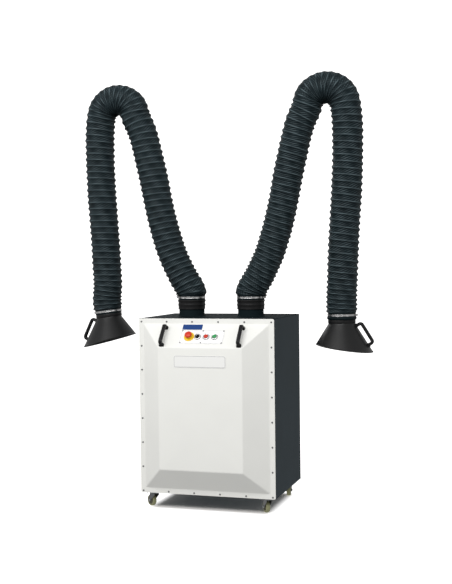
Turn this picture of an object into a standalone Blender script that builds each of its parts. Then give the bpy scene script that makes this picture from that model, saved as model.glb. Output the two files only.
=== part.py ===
"""Mobile welding fume extractor with two self-supporting hooded hose arms.

The frame is in metres with +Z up. The front faces -Y, and the origin lies on the floor under
the middle of the cabinet and its raised front face.
"""
import math

import bmesh
import bpy
from mathutils import Vector

# Gaps between pieces
FIT = 0.0003
RUNNING_GAP = 0.0006
CUT_OVERRUN = 0.010
MERGE_DISTANCE = 0.00001

# Cabinet of folded sheet
CABINET_WIDTH = 0.800
CABINET_DEPTH = 0.600
CABINET_HEIGHT = 1.000
WALL = 0.002
FOLD_RADIUS = 0.005
FRONT_RETURN = 0.030
TOP_LIP = 0.018
BASE_THICKNESS = 0.003
BASE_LIP = 0.025

# Front panel with its raised middle
PANEL_THICKNESS = 0.002
PANEL_CORNER_RADIUS = 0.009
PANEL_BORDER = 0.030
RELIEF_DEPTH = 0.105
RELIEF_SLOPE_WIDTH = 0.126

# Controls on the upper slope of the raised middle
CONTROLS_DOWN_SLOPE = 0.090
CONTROL_PLATE_WIDTH = 0.256
CONTROL_PLATE_HEIGHT = 0.096
CONTROL_PLATE_THICKNESS = 0.0015
CONTROL_PLATE_RADIUS = 0.006
CONTROL_SPACING = 0.050
BARREL_RADIUS = 0.011
BARREL_LENGTH = 0.030
PLUNGER_RADIUS = 0.006
BEZEL_RADIUS = 0.0145
BEZEL_HEIGHT = 0.006
BUTTON_RADIUS = 0.0105
BUTTON_PROUD = 0.004
BUTTON_TRAVEL = 0.003
BUTTON_SKIRT = 0.0015
PLUNGER_LENGTH = 0.018
CONTROL_CHAMFER = 0.001
STOP_DISC_RADIUS = 0.030
STOP_DISC_THICKNESS = 0.003
STOP_BOSS_RADIUS = 0.016
STOP_BOSS_HEIGHT = 0.010
MUSHROOM_RADIUS = 0.020
MUSHROOM_HEIGHT = 0.014
MUSHROOM_TRAVEL = 0.005
KNOB_HEIGHT = 0.014
KNOB_BAR_WIDTH = 0.008

# Grab handles beside the controls
GRAB_SPACING = 0.452
GRAB_LENGTH = 0.132
GRAB_HEIGHT = 0.040
GRAB_BAR = 0.014
GRAB_WIDTH = 0.022
GRAB_CORNER = 0.016

# Castors
CASTOR_HEIGHT = 0.090
CASTOR_INSET_X = 0.060
CASTOR_INSET_Y = 0.055
CASTOR_PLATE = 0.080
CASTOR_PLATE_THICKNESS = 0.003
CASTOR_PLATE_RADIUS = 0.008
CASTOR_TRAIL = 0.024
CASTOR_TURN_DEG = {"front_left": 145, "front_right": 125, "rear_left": 200, "rear_right": 280}
RACEWAY_RADIUS = 0.024
RACEWAY_HEIGHT = 0.008
KINGPIN_RADIUS = 0.006
WHEEL_RADIUS = 0.0325
WHEEL_WIDTH = 0.024
WHEEL_HUB_RADIUS = 0.011
WHEEL_HUB_WIDTH = 0.028
TREAD_DEPTH = 0.008
AXLE_RADIUS = 0.004
FORK_THICKNESS = 0.0025
FORK_CROWN = 0.046
AXLE_NUT_RADIUS = 0.007
AXLE_NUT_HEIGHT = 0.004

# Fan, filters and electrics inside
DECK_HEIGHT = 0.440
DECK_THICKNESS = 0.003
DECK_LIP = 0.020
CARTRIDGE_SPACING = 0.366
CARTRIDGE_HEADROOM = 0.157
CARTRIDGE_RADIUS = 0.150
CARTRIDGE_BORE = 0.100
CARTRIDGE_RIM = 0.156
CARTRIDGE_RIM_HEIGHT = 0.016
PLEAT_COUNT = 24
PLEAT_DEPTH = 0.026
MOTOR_RADIUS = 0.075
MOTOR_HEIGHT = 0.170
MOTOR_FLANGE_RADIUS = 0.095
MOTOR_FLANGE_HEIGHT = 0.010
MOTOR_FOOT_HEIGHT = 0.012
COOLING_RIB_COUNT = 12
COOLING_RIB_HEIGHT = 0.008
COOLING_RIB_THICKNESS = 0.004
SHAFT_RADIUS = 0.010
SHAFT_IN_MOTOR = 0.060
FAN_RADIUS = 0.125
FAN_DISC_THICKNESS = 0.003
FAN_HUB_RADIUS = 0.028
FAN_HUB_HEIGHT = 0.030
FAN_EYE_RADIUS = 0.075
BLADE_COUNT = 8
BLADE_HEIGHT = 0.055
BLADE_THICKNESS = 0.003
BLADE_SWEEP_DEG = 50
SCROLL_WALL = 0.002
SCROLL_START_GAP = 0.012
SCROLL_GROWTH = 0.060
SCROLL_CLEAR = 0.012
INLET_RADIUS = 0.085
OUTLET_WIDTH = 0.130
GRILLE_BORDER = 0.022
GRILLE_THICKNESS = 0.003
GRILLE_SLOT_COUNT = 7
GRILLE_BAR = 0.006
GLAND_HEIGHT = 0.110
GLAND_INSET_X = 0.090
GLAND_RADIUS = 0.014
GLAND_BARREL_RADIUS = 0.010
GLAND_BORE_RADIUS = 0.0045
GLAND_LENGTH = 0.022
GLAND_NUT_HEIGHT = 0.006
BOX_WIDTH = 0.090
BOX_DEPTH = 0.180
BOX_HEIGHT = 0.240
BOX_RADIUS = 0.006
BOX_ABOVE_BASE = 0.080

# Duct and the hose that goes over it
STUB_OFFSET = 0.182
DUCT_RADIUS = 0.075
DUCT_WALL = 0.002
STUB_HEIGHT = 0.072
STUB_BELOW = 0.020
STUB_BEAD = 0.006
STUB_BEAD_HEIGHT = 0.003
CUFF_RADIUS = 0.0795
CUFF_FOOT = 0.042
CUFF_TOP = 0.097
SPIGOT_RADIUS = 0.073
SPIGOT_LENGTH = 0.032
HOSE_VALLEY_RADIUS = 0.0815
HOSE_RIB_RADIUS = 0.0885
HOSE_BORE_RADIUS = 0.0745
HOSE_SOCKET_DEPTH = 0.035
BASE_SLEEVE = 0.025
HOOD_SLEEVE = {"left": 0.025, "right": 0.037}
RIB_COUNT = 64
CLAMP_THICKNESS = 0.0012
CLAMP_WIDTH = 0.012
CLAMP_BOX_LENGTH = 0.026
CLAMP_BOX_HEIGHT = 0.010
CLAMP_SCREW_RADIUS = 0.004
CLAMP_SCREW_LENGTH = 0.036
BASE_CLAMP_UP = 0.013
HOOD_CLAMP_UP = {"left": 0.014, "right": 0.026}

# Arm route, from the stub's axis outwards and up from the cabinet's top
PIVOT_FROM_END = 0.060
BEND_REACH = 0.456
BEND_RISE = 1.192
BEND_RADIUS = 0.113
ROUTE_STEP = 0.005
ROUTE_EASE = 0.025
HOOD_REACH = 0.537
LEG_BULGE = 0.042
HOSE_END_RISE = {"left": 0.012, "right": -0.016}
HOOD_TILT_DEG = {"left": 7, "right": 0}

# Links inside the hose
LINK_RADIUS = 0.0125
EYE_RADIUS = 0.017
EYE_WIDTH = 0.027
EAR_THICKNESS = 0.005
EAR_RADIUS = 0.015
EAR_WIDTH = 0.022
PIN_RADIUS = 0.005
LINK_STEP = 0.070
CROSSBAR_WIDTH = 0.020
CROSSBAR_HEIGHT = 0.012
CROSSBAR_UP = 0.012

# Hood
NECK_LENGTH = 0.023
CONE_ANGLE_DEG = 32
MOUTH_TILT_DEG = 8
MOUTH_DROP = 0.138
HOOD_WALL = 0.0025
HOOD_HANDLE_LENGTH = 0.146
HOOD_HANDLE_STANDOFF = 0.036
HOOD_HANDLE_BAR = 0.012
HOOD_HANDLE_WIDTH = 0.024
HOOD_HANDLE_CORNER = 0.020
HOOD_HANDLE_DOWN = 0.006

# Counts of flat sides on round pieces
ROUND = 24
SMALL_ROUND = 12
PIN_ROUND = 8
WHEEL_ROUND = 16

# Places worked out from the sizes above
FRONT_Y = (RELIEF_DEPTH - CABINET_DEPTH) / 2
BACK_Y = FRONT_Y + CABINET_DEPTH
ARM_Y = (FRONT_Y + BACK_Y) / 2
BASE_Z = CASTOR_HEIGHT
TOP_Z = BASE_Z + CABINET_HEIGHT
SHELL_FRONT_Y = FRONT_Y + PANEL_THICKNESS + FIT
SHELL_BOTTOM_Z = BASE_Z + BASE_THICKNESS + FIT
SHELL_TOP_Z = TOP_Z - WALL - FIT
DECK_Z = BASE_Z + DECK_HEIGHT
CARTRIDGE_Z = DECK_Z + DECK_THICKNESS + FIT
CARTRIDGE_HEIGHT = TOP_Z - CARTRIDGE_HEADROOM - CARTRIDGE_Z
HOSE_START_Z = TOP_Z + CUFF_TOP + FIT
BEND_Z = TOP_Z + BEND_RISE
SLOPE_ANGLE = math.atan2(RELIEF_SLOPE_WIDTH, RELIEF_DEPTH)
MOTOR_Z = BASE_Z + BASE_THICKNESS + FIT
SCROLL_Z = MOTOR_Z + MOTOR_FOOT_HEIGHT + MOTOR_HEIGHT + MOTOR_FLANGE_HEIGHT + FIT
SCROLL_HEIGHT = SCROLL_WALL * 2 + SCROLL_CLEAR * 2 + FAN_DISC_THICKNESS + BLADE_HEIGHT
GLAND_X = CABINET_WIDTH / 2 - GLAND_INSET_X
GLAND_Z = BASE_Z + GLAND_HEIGHT
CONTROL_SEAT = FIT + CONTROL_PLATE_THICKNESS + FIT
CONTROL_X = {
    "emergency_stop": -CONTROL_SPACING * 3 / 2,
    "selector": -CONTROL_SPACING / 2,
    "stop": CONTROL_SPACING / 2,
    "start": CONTROL_SPACING * 3 / 2,
}
CAP_FLOOR = BEZEL_HEIGHT - BUTTON_SKIRT - BUTTON_TRAVEL - RUNNING_GAP
SIDES = {"left": -1, "right": 1}
QUARTER = math.pi / 2
ALONG_Y = (QUARTER, 0, 0)
UPRIGHT = (QUARTER, 0, QUARTER)
INNER_CORNER_SHARE = 0.4
MUSHROOM_RIM_SHARE = 0.45
MUSHROOM_WAIST_SHARE = 0.8
FORK_SHOULDER_SHARE = 0.5
HUB_TAPER_SHARE = 0.6
BLADE_START_SHARE = 0.8
CROSSBAR_END_SHARE = 0.16
BEND_MIDDLE_SHARE = 0.5
BEND_SPREAD_SHARE = 0.12

# Route tables: share of the leg's height, share of the leg's reach
INNER_LEG_SHARES = (
    (0.000, 0.000), (0.020, 0.000), (0.040, 0.000), (0.062, 0.028), (0.085, 0.080), (0.127, 0.160),
    (0.172, 0.232), (0.217, 0.302), (0.298, 0.402), (0.470, 0.555), (0.653, 0.672), (0.826, 0.800),
    (0.925, 0.888),
)
OUTER_LEG_SHARES = (
    (0.070, 0.93), (0.160, 1.00), (0.350, 0.88), (0.500, 0.64), (0.640, 0.38), (0.780, 0.20), (0.900, 0.06),
)


def clear_scene():
    for obj in list(bpy.data.objects):
        bpy.data.objects.remove(obj, do_unlink=True)


def new_collection(name):
    collection = bpy.data.collections.new(name)
    bpy.context.scene.collection.children.link(collection)
    return collection


def make_material(name, colour, roughness, metallic=0.0):
    material = bpy.data.materials.new(name)
    material.use_nodes = True
    shader = material.node_tree.nodes["Principled BSDF"]
    shader.inputs["Base Color"].default_value = (*colour, 1.0)
    shader.inputs["Roughness"].default_value = roughness
    shader.inputs["Metallic"].default_value = metallic
    return material


clear_scene()
PARTS = new_collection("fume_extractor")
GUIDES = new_collection("cutters_and_guides")

WHITE_PAINT = ("white_paint", (0.82, 0.82, 0.79), 0.45, 0.0)
DARK_PAINT = ("anthracite_paint", (0.035, 0.042, 0.05), 0.45, 0.0)
BLACK_PLASTIC = ("black_plastic", (0.015, 0.015, 0.016), 0.5, 0.0)
HOSE_FABRIC = ("coated_hose", (0.022, 0.03, 0.033), 0.6, 0.0)
STEEL = ("zinc_steel", (0.6, 0.6, 0.6), 0.35, 1.0)
CHROME = ("chrome", (0.8, 0.8, 0.8), 0.12, 1.0)
CASTOR_TREAD = ("castor_tread", (0.3, 0.29, 0.2), 0.6, 0.0)
YELLOW_PLASTIC = ("yellow_plastic", (0.9, 0.62, 0.02), 0.4, 0.0)
RED_PLASTIC = ("red_plastic", (0.75, 0.05, 0.02), 0.35, 0.0)
GREEN_PLASTIC = ("green_plastic", (0.03, 0.4, 0.1), 0.35, 0.0)
FILTER_MEDIA = ("filter_media", (0.7, 0.7, 0.62), 0.9, 0.0)


def place(obj, name, finish, parent=None, location=(0, 0, 0), rotation=(0, 0, 0)):
    """Names an object, gives it its own material and puts it in the model's collection."""
    obj.name = name
    obj.data.name = name
    label, colour, roughness, metallic = finish
    obj.data.materials.clear()
    obj.data.materials.append(make_material(f"{name}_{label}", colour, roughness, metallic))
    if obj.type == "MESH":
        obj.data.shade_smooth()
        obj.data.set_sharp_from_angle(angle=math.radians(30))
    PARTS.objects.link(obj)
    GUIDES.objects.unlink(obj)
    obj.parent = parent
    obj.location = location
    obj.rotation_euler = rotation
    obj.hide_render = False
    obj.display_type = "TEXTURED"
    return obj


def guide(name, data, location=(0, 0, 0)):
    """A new object among the cutters, until place moves it to the model."""
    obj = bpy.data.objects.new(name, data)
    GUIDES.objects.link(obj)
    obj.location = location
    obj.hide_render = True
    obj.display_type = "WIRE"
    return obj


def anchor(name, location, rotation=(0, 0, 0), parent=None):
    """An empty that carries the pieces of one moving or mounted group."""
    empty = bpy.data.objects.new(name, None)
    GUIDES.objects.link(empty)
    empty.parent = parent
    empty.location = location
    empty.rotation_euler = rotation
    return empty


def mesh_object(name, bm):
    mesh = bpy.data.meshes.new(name)
    bm.to_mesh(mesh)
    bm.free()
    return guide(name, mesh)


def box(name, size, centre=(0, 0, 0)):
    bm = bmesh.new()
    bmesh.ops.create_cube(bm, size=1)
    bmesh.ops.scale(bm, vec=Vector(size), verts=bm.verts)
    bmesh.ops.translate(bm, vec=Vector(centre), verts=bm.verts)
    return mesh_object(name, bm)


def span_box(name, low, high):
    """A box from its lowest to its highest corner."""
    low, high = Vector(low), Vector(high)
    return box(name, high - low, (low + high) / 2)


def cylinder(name, radius, depth, centre=(0, 0, 0), sides=ROUND):
    """A cylinder along Z round its centre."""
    bm = bmesh.new()
    bmesh.ops.create_cone(bm, cap_ends=True, segments=sides, radius1=radius, radius2=radius, depth=depth)
    bmesh.ops.translate(bm, vec=Vector(centre), verts=bm.verts)
    return mesh_object(name, bm)


def turned(name, profile, sides=ROUND):
    """A closed or axis-to-axis profile of (radius, height), turned about Z with Screw."""
    bm = bmesh.new()
    verts = [bm.verts.new((radius, 0, height)) for radius, height in profile]
    open_profile = profile[0][0] == 0 and profile[-1][0] == 0
    last = len(verts) - 1 if open_profile else len(verts)
    for i in range(last):
        bm.edges.new((verts[i], verts[(i + 1) % len(verts)]))
    obj = mesh_object(name, bm)
    screw = obj.modifiers.new("turn", "SCREW")
    screw.steps = sides
    screw.render_steps = sides
    screw.use_merge_vertices = True
    screw.merge_threshold = MERGE_DISTANCE
    screw.use_smooth_shade = True
    return obj


def tube(name, points, radius, radii=None):
    """A capped tube along the points; radii gives each point its own radius."""
    curve = bpy.data.curves.new(name, "CURVE")
    curve.dimensions = "3D"
    curve.bevel_depth = radius
    curve.bevel_resolution = 2
    curve.use_fill_caps = True
    spline = curve.splines.new("POLY")
    spline.points.add(len(points) - 1)
    for i, point in enumerate(points):
        spline.points[i].co = (*point, 1)
        spline.points[i].radius = radii[i] / radius if radii else 1
    return as_mesh(guide(name, curve))


def flat_outline(name, points, thickness):
    """A flat plate in the XY plane from a closed outline."""
    curve = bpy.data.curves.new(name, "CURVE")
    curve.dimensions = "2D"
    curve.fill_mode = "BOTH"
    curve.extrude = thickness / 2
    spline = curve.splines.new("POLY")
    spline.points.add(len(points) - 1)
    for i, (x, y) in enumerate(points):
        spline.points[i].co = (x, y, 0, 1)
    spline.use_cyclic_u = True
    return as_mesh(guide(name, curve))


def as_mesh(curve_object):
    """Turns a curve object into a mesh object with its caps welded."""
    depsgraph = bpy.context.evaluated_depsgraph_get()
    mesh = bpy.data.meshes.new_from_object(curve_object.evaluated_get(depsgraph))
    bm = bmesh.new()
    bm.from_mesh(mesh)
    bmesh.ops.remove_doubles(bm, verts=bm.verts, dist=MERGE_DISTANCE)
    bmesh.ops.recalc_face_normals(bm, faces=bm.faces)
    bm.to_mesh(mesh)
    bm.free()
    obj = guide(curve_object.name + "_mesh", mesh)
    obj.matrix_world = curve_object.matrix_world
    bpy.data.objects.remove(curve_object, do_unlink=True)
    return obj


def rounded_rectangle(width, height, radius, steps=2):
    """Corner arcs of a rectangle centred on the origin, as one closed outline."""
    points = []
    corners = ((1, 1, 0), (-1, 1, 1), (-1, -1, 2), (1, -1, 3))
    for sx, sy, quarter in corners:
        for i in range(steps + 1):
            angle = math.pi / 2 * (quarter + i / steps)
            x = sx * (width / 2 - radius) + radius * math.cos(angle)
            y = sy * (height / 2 - radius) + radius * math.sin(angle)
            points.append((x, y))
    return points


def at(obj, location=(0, 0, 0), rotation=(0, 0, 0)):
    """Puts a cutter or an added shape in the frame of the piece that it shapes."""
    obj.location = location
    obj.rotation_euler = rotation
    return obj


def shape_with(obj, others, operation):
    """Adds a Boolean for each other object; one without a parent then follows the piece."""
    for other in others:
        modifier = obj.modifiers.new(other.name, "BOOLEAN")
        modifier.operation = operation
        modifier.solver = "EXACT"
        modifier.object = other
        if other.parent is None:
            other.parent = obj
    return obj


def cut(obj, *cutters):
    return shape_with(obj, cutters, "DIFFERENCE")


def join(obj, *others):
    return shape_with(obj, others, "UNION")


def arch_outline(length, height, bar, corner, steps=4):
    """Outline of a handle on two feet: a bar with rounded corners over an open middle."""
    outer, inner = [], []
    for i in range(steps + 1):
        angle = math.pi / 2 * i / steps
        x = length / 2 - corner + corner * math.sin(angle)
        outer.append((x, height - corner + corner * math.cos(angle)))
        inner_corner = max(corner - bar, bar * INNER_CORNER_SHARE)
        x = length / 2 - bar - inner_corner + inner_corner * math.sin(angle)
        inner.append((x, height - bar - inner_corner + inner_corner * math.cos(angle)))
    right_outer = outer + [(length / 2, 0)]
    right_inner = [(length / 2 - bar, 0)] + inner[::-1]
    left_inner = [(-x, y) for x, y in right_inner[::-1]]
    left_outer = [(-x, y) for x, y in right_outer[::-1]]
    return right_outer + right_inner + left_inner + left_outer


def cabinet_shell():
    """Sides and back folded from one sheet, with narrow returns that the front panel is screwed to."""
    half = CABINET_WIDTH / 2
    inner = half - WALL
    lip = half - FRONT_RETURN
    front, back = SHELL_FRONT_Y, BACK_Y
    right = [(lip, front + WALL), (lip, front)]
    right += corner_arc((half - FOLD_RADIUS, front + FOLD_RADIUS), FOLD_RADIUS, -QUARTER, 0)
    right += corner_arc((half - FOLD_RADIUS, back - FOLD_RADIUS), FOLD_RADIUS, 0, QUARTER)
    inside = [(inner, back - WALL), (inner, front + WALL)]
    left = [(-x, y) for x, y in right[::-1]]
    left_inside = [(-x, y) for x, y in inside[::-1]]
    outline = right + left + left_inside + inside
    height = SHELL_TOP_Z - SHELL_BOTTOM_Z
    shell = flat_outline("shell_sheet", outline, height)
    outlet = span_box(
        "outlet_hole",
        (outlet_low_x() + SCROLL_WALL, back - WALL - CUT_OVERRUN, SCROLL_Z + SCROLL_WALL),
        (outlet_high_x() - SCROLL_WALL, back + CUT_OVERRUN, SCROLL_Z + SCROLL_HEIGHT - SCROLL_WALL),
    )
    gland_radius = round_hole(GLAND_BARREL_RADIUS, SMALL_ROUND)
    gland = cylinder("gland_hole", gland_radius, WALL + CUT_OVERRUN * 2, sides=SMALL_ROUND)
    middle = (SHELL_TOP_Z + SHELL_BOTTOM_Z) / 2
    place(shell, "cabinet_shell", DARK_PAINT, location=(0, 0, middle))
    at(outlet, (0, 0, -middle))
    at(gland, (GLAND_X, back - WALL / 2, GLAND_Z - middle), ALONG_Y)
    return cut(shell, outlet, gland)


def round_hole(radius, sides):
    """Corner radius of a many-sided hole whose flats clear a turning pin of the radius."""
    return (radius + FIT) / math.cos(math.pi / sides)


def corner_arc(centre, radius, start, end, steps=3):
    angles = [start + (end - start) * i / steps for i in range(steps + 1)]
    return [(centre[0] + radius * math.cos(a), centre[1] + radius * math.sin(a)) for a in angles]


def sheet_with_lip(name, low_z, thickness, lip, lip_direction):
    """A cover sheet over the walls, with a folded lip just inside them."""
    half = CABINET_WIDTH / 2
    sheet = span_box(name, (-half, SHELL_FRONT_Y, low_z), (half, BACK_Y, low_z + thickness))
    inner = half - WALL - FIT
    front, back = SHELL_FRONT_Y + WALL + FIT, BACK_Y - WALL - FIT
    start = low_z + thickness / 2
    end = (low_z if lip_direction < 0 else low_z + thickness) + lip_direction * lip
    low, high = min(start, end), max(start, end)
    ring = span_box(name + "_lip", (-inner, front, low), (inner, back, high))
    hollow_low = low - CUT_OVERRUN if lip_direction < 0 else low_z + thickness
    hollow_high = low_z if lip_direction < 0 else high + CUT_OVERRUN
    hollow = span_box(
        name + "_hollow",
        (-inner + thickness, front + thickness, hollow_low),
        (inner - thickness, back - thickness, hollow_high),
    )
    return cut(join(sheet, ring), hollow)


def top_plate():
    """Top sheet with a hole for each duct stub."""
    plate = sheet_with_lip("top_plate", TOP_Z - WALL, WALL, TOP_LIP, -1)
    for side, sign in SIDES.items():
        hole = cylinder(f"stub_hole_{side}", DUCT_RADIUS + FIT, WALL + CUT_OVERRUN * 2)
        cut(plate, at(hole, (sign * STUB_OFFSET, ARM_Y, TOP_Z)))
    return place(plate, "top_plate", DARK_PAINT)


def base_plate():
    plate = sheet_with_lip("base_plate", BASE_Z, BASE_THICKNESS, BASE_LIP, 1)
    return place(plate, "base_plate", DARK_PAINT)


def front_panel(barrel_holes):
    """Screwed-on front sheet whose middle is raised as a hollow frustum."""
    outline = rounded_rectangle(CABINET_WIDTH, CABINET_HEIGHT, PANEL_CORNER_RADIUS)
    panel = flat_outline("front_panel", outline, PANEL_THICKNESS)
    half = PANEL_THICKNESS / 2
    inset = PANEL_THICKNESS * math.tan(math.atan2(RELIEF_DEPTH, RELIEF_SLOPE_WIDTH) / 2)
    join(panel, relief("panel_relief", 0, half, 0))
    cut(panel, relief("panel_hollow", inset, -half, -CUT_OVERRUN), *barrel_holes)
    middle = (0, FRONT_Y + half, BASE_Z + CABINET_HEIGHT / 2)
    return place(panel, "front_panel", WHITE_PAINT, None, middle, ALONG_Y)


def relief(name, inset, base_z, low_z):
    """Frustum of the raised middle, drawn in at its base height and run on down to the low one."""
    bm = bmesh.new()
    bmesh.ops.create_cube(bm, size=2)
    top_z = base_z + RELIEF_DEPTH
    for vert in bm.verts:
        z = top_z if vert.co.z > 0 else low_z
        drawn_in = PANEL_BORDER + inset + RELIEF_SLOPE_WIDTH * (z - base_z) / RELIEF_DEPTH
        x = vert.co.x * (CABINET_WIDTH / 2 - drawn_in)
        y = vert.co.y * (CABINET_HEIGHT / 2 - drawn_in)
        vert.co = (x, y, z)
    return mesh_object(name, bm)


def slope_anchor():
    """Frame on the upper slope: X to the right, Y up the slope, Z out of it."""
    length = math.hypot(RELIEF_SLOPE_WIDTH, RELIEF_DEPTH)
    down = CONTROLS_DOWN_SLOPE / length
    place_y = FRONT_Y - RELIEF_DEPTH * down
    place_z = TOP_Z - PANEL_BORDER - RELIEF_SLOPE_WIDTH * down
    return anchor("control_slope", (0, place_y, place_z), (SLOPE_ANGLE, 0, 0))


def barrel_holes(slope):
    holes = []
    radius = round_hole(BARREL_RADIUS, SMALL_ROUND)
    for label, x in CONTROL_X.items():
        hole = cylinder(f"{label}_hole", radius, CUT_OVERRUN * 2, sides=SMALL_ROUND)
        hole.parent = slope
        holes.append(at(hole, (x, 0, 0)))
    return holes


def control_plate(slope, holes):
    outline = rounded_rectangle(CONTROL_PLATE_WIDTH, CONTROL_PLATE_HEIGHT, CONTROL_PLATE_RADIUS)
    plate = flat_outline("control_plate", outline, CONTROL_PLATE_THICKNESS)
    cut(plate, *holes)
    return place(plate, "control_plate", WHITE_PAINT, slope, (0, 0, FIT + CONTROL_PLATE_THICKNESS / 2))


def control_bezel(slope, label):
    """Chromed ring with a counterbore for the cap and a threaded barrel behind the panel."""
    cap_bore = BUTTON_RADIUS + RUNNING_GAP
    stem_bore = PLUNGER_RADIUS + RUNNING_GAP
    profile = (
        (BEZEL_RADIUS - CONTROL_CHAMFER, BEZEL_HEIGHT), (BEZEL_RADIUS, BEZEL_HEIGHT - CONTROL_CHAMFER),
        (BEZEL_RADIUS, 0), (BARREL_RADIUS, 0), (BARREL_RADIUS, -BARREL_LENGTH),
        (stem_bore, -BARREL_LENGTH), (stem_bore, CAP_FLOOR), (cap_bore, CAP_FLOOR), (cap_bore, BEZEL_HEIGHT),
    )
    bezel = turned(label + "_bezel", profile, SMALL_ROUND)
    return place(bezel, label + "_bezel", CHROME, slope, (CONTROL_X[label], 0, CONTROL_SEAT))


def push_button(slope, label, finish):
    """Flat cap that sinks into its bezel on a round stem."""
    top = BEZEL_HEIGHT + BUTTON_PROUD
    under = BEZEL_HEIGHT - BUTTON_SKIRT
    profile = (
        (0, top), (BUTTON_RADIUS - CONTROL_CHAMFER, top), (BUTTON_RADIUS, top - CONTROL_CHAMFER),
        (BUTTON_RADIUS, under), (PLUNGER_RADIUS, under), (PLUNGER_RADIUS, -PLUNGER_LENGTH),
        (0, -PLUNGER_LENGTH),
    )
    button = turned(label + "_button", profile, SMALL_ROUND)
    return place(button, label + "_button", finish, slope, (CONTROL_X[label], 0, CONTROL_SEAT))


def selector_knob(slope):
    """Turning knob with a raised grip bar across its cap."""
    under = BEZEL_HEIGHT - BUTTON_SKIRT
    top = BEZEL_HEIGHT + CONTROL_CHAMFER
    profile = (
        (0, top), (BUTTON_RADIUS, top), (BUTTON_RADIUS, under), (PLUNGER_RADIUS, under),
        (PLUNGER_RADIUS, -PLUNGER_LENGTH), (0, -PLUNGER_LENGTH),
    )
    knob = turned("selector_knob", profile, SMALL_ROUND)
    grip_outline = rounded_rectangle(KNOB_BAR_WIDTH, BUTTON_RADIUS * 2 - FIT, KNOB_BAR_WIDTH / 3)
    grip = flat_outline("selector_grip", grip_outline, KNOB_HEIGHT)
    join(knob, at(grip, (0, 0, under + KNOB_HEIGHT / 2 + CONTROL_CHAMFER)))
    return place(knob, "selector_knob", BLACK_PLASTIC, slope, (CONTROL_X["selector"], 0, CONTROL_SEAT))


def emergency_stop_collar(slope):
    """Yellow disc with a raised boss and a barrel behind the panel."""
    stem_bore = PLUNGER_RADIUS + RUNNING_GAP
    profile = (
        (STOP_BOSS_RADIUS, STOP_BOSS_HEIGHT), (STOP_BOSS_RADIUS, STOP_DISC_THICKNESS),
        (STOP_DISC_RADIUS - CONTROL_CHAMFER, STOP_DISC_THICKNESS),
        (STOP_DISC_RADIUS, STOP_DISC_THICKNESS - CONTROL_CHAMFER), (STOP_DISC_RADIUS, 0),
        (BARREL_RADIUS, 0), (BARREL_RADIUS, -BARREL_LENGTH), (stem_bore, -BARREL_LENGTH),
        (stem_bore, STOP_BOSS_HEIGHT),
    )
    collar = turned("emergency_stop_collar", profile, WHEEL_ROUND)
    return place(
        collar, "emergency_stop_collar", YELLOW_PLASTIC, slope, (CONTROL_X["emergency_stop"], 0, CONTROL_SEAT)
    )


def emergency_stop_button(slope):
    """Domed mushroom head on a stem, clear of its boss by its own travel."""
    under = STOP_BOSS_HEIGHT + MUSHROOM_TRAVEL + RUNNING_GAP
    rim = under + MUSHROOM_HEIGHT * MUSHROOM_RIM_SHARE
    dome = [(0, under + MUSHROOM_HEIGHT)]
    for i in range(1, 5):
        angle = QUARTER * i / 4
        height = rim + (under + MUSHROOM_HEIGHT - rim) * math.cos(angle)
        dome.append((MUSHROOM_RADIUS * math.sin(angle), height))
    profile = dome + [
        (MUSHROOM_RADIUS * MUSHROOM_WAIST_SHARE, under), (PLUNGER_RADIUS, under),
        (PLUNGER_RADIUS, -PLUNGER_LENGTH), (0, -PLUNGER_LENGTH),
    ]
    head = turned("emergency_stop_button", profile, WHEEL_ROUND)
    return place(
        head, "emergency_stop_button", RED_PLASTIC, slope, (CONTROL_X["emergency_stop"], 0, CONTROL_SEAT)
    )


def grab_handle(slope, side):
    outline = arch_outline(GRAB_LENGTH, GRAB_HEIGHT, GRAB_BAR, GRAB_CORNER)
    handle = flat_outline("grab_handle_" + side, outline, GRAB_WIDTH)
    x = SIDES[side] * GRAB_SPACING / 2
    return place(handle, "grab_handle_" + side, BLACK_PLASTIC, slope, (x, 0, FIT), UPRIGHT)


def castor(corner):
    """Swivel castor: top plate with raceway, fork with kingpin and axle, and a trailing wheel."""
    depth, width = corner.split("_")
    x = SIDES[width] * (CABINET_WIDTH / 2 - CASTOR_INSET_X)
    y = FRONT_Y + CASTOR_INSET_Y if depth == "front" else BACK_Y - CASTOR_INSET_Y
    turn = math.radians(CASTOR_TURN_DEG[corner])
    mount = anchor("castor_" + corner, (x, y, BASE_Z))
    swivel = anchor("castor_swivel_" + corner, (0, 0, 0), (0, 0, turn), mount)
    axle_z = WHEEL_RADIUS - CASTOR_HEIGHT
    castor_plate(mount, corner)
    castor_fork(swivel, corner, axle_z)
    castor_wheel(swivel, corner, axle_z)


def castor_plate(mount, corner):
    outline = rounded_rectangle(CASTOR_PLATE, CASTOR_PLATE, CASTOR_PLATE_RADIUS, 2)
    plate = flat_outline("castor_plate_" + corner, outline, CASTOR_PLATE_THICKNESS)
    down = CASTOR_PLATE_THICKNESS / 2 + RACEWAY_HEIGHT / 2
    raceway = cylinder("raceway_" + corner, RACEWAY_RADIUS, RACEWAY_HEIGHT + FIT, sides=SMALL_ROUND)
    bore = round_hole(KINGPIN_RADIUS, PIN_ROUND)
    hole = cylinder("kingpin_hole_" + corner, bore, CASTOR_HEIGHT, sides=PIN_ROUND)
    cut(join(plate, at(raceway, (0, 0, -down + FIT / 2))), hole)
    place(plate, "castor_plate_" + corner, STEEL, mount, (0, 0, -FIT - CASTOR_PLATE_THICKNESS / 2))


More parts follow.
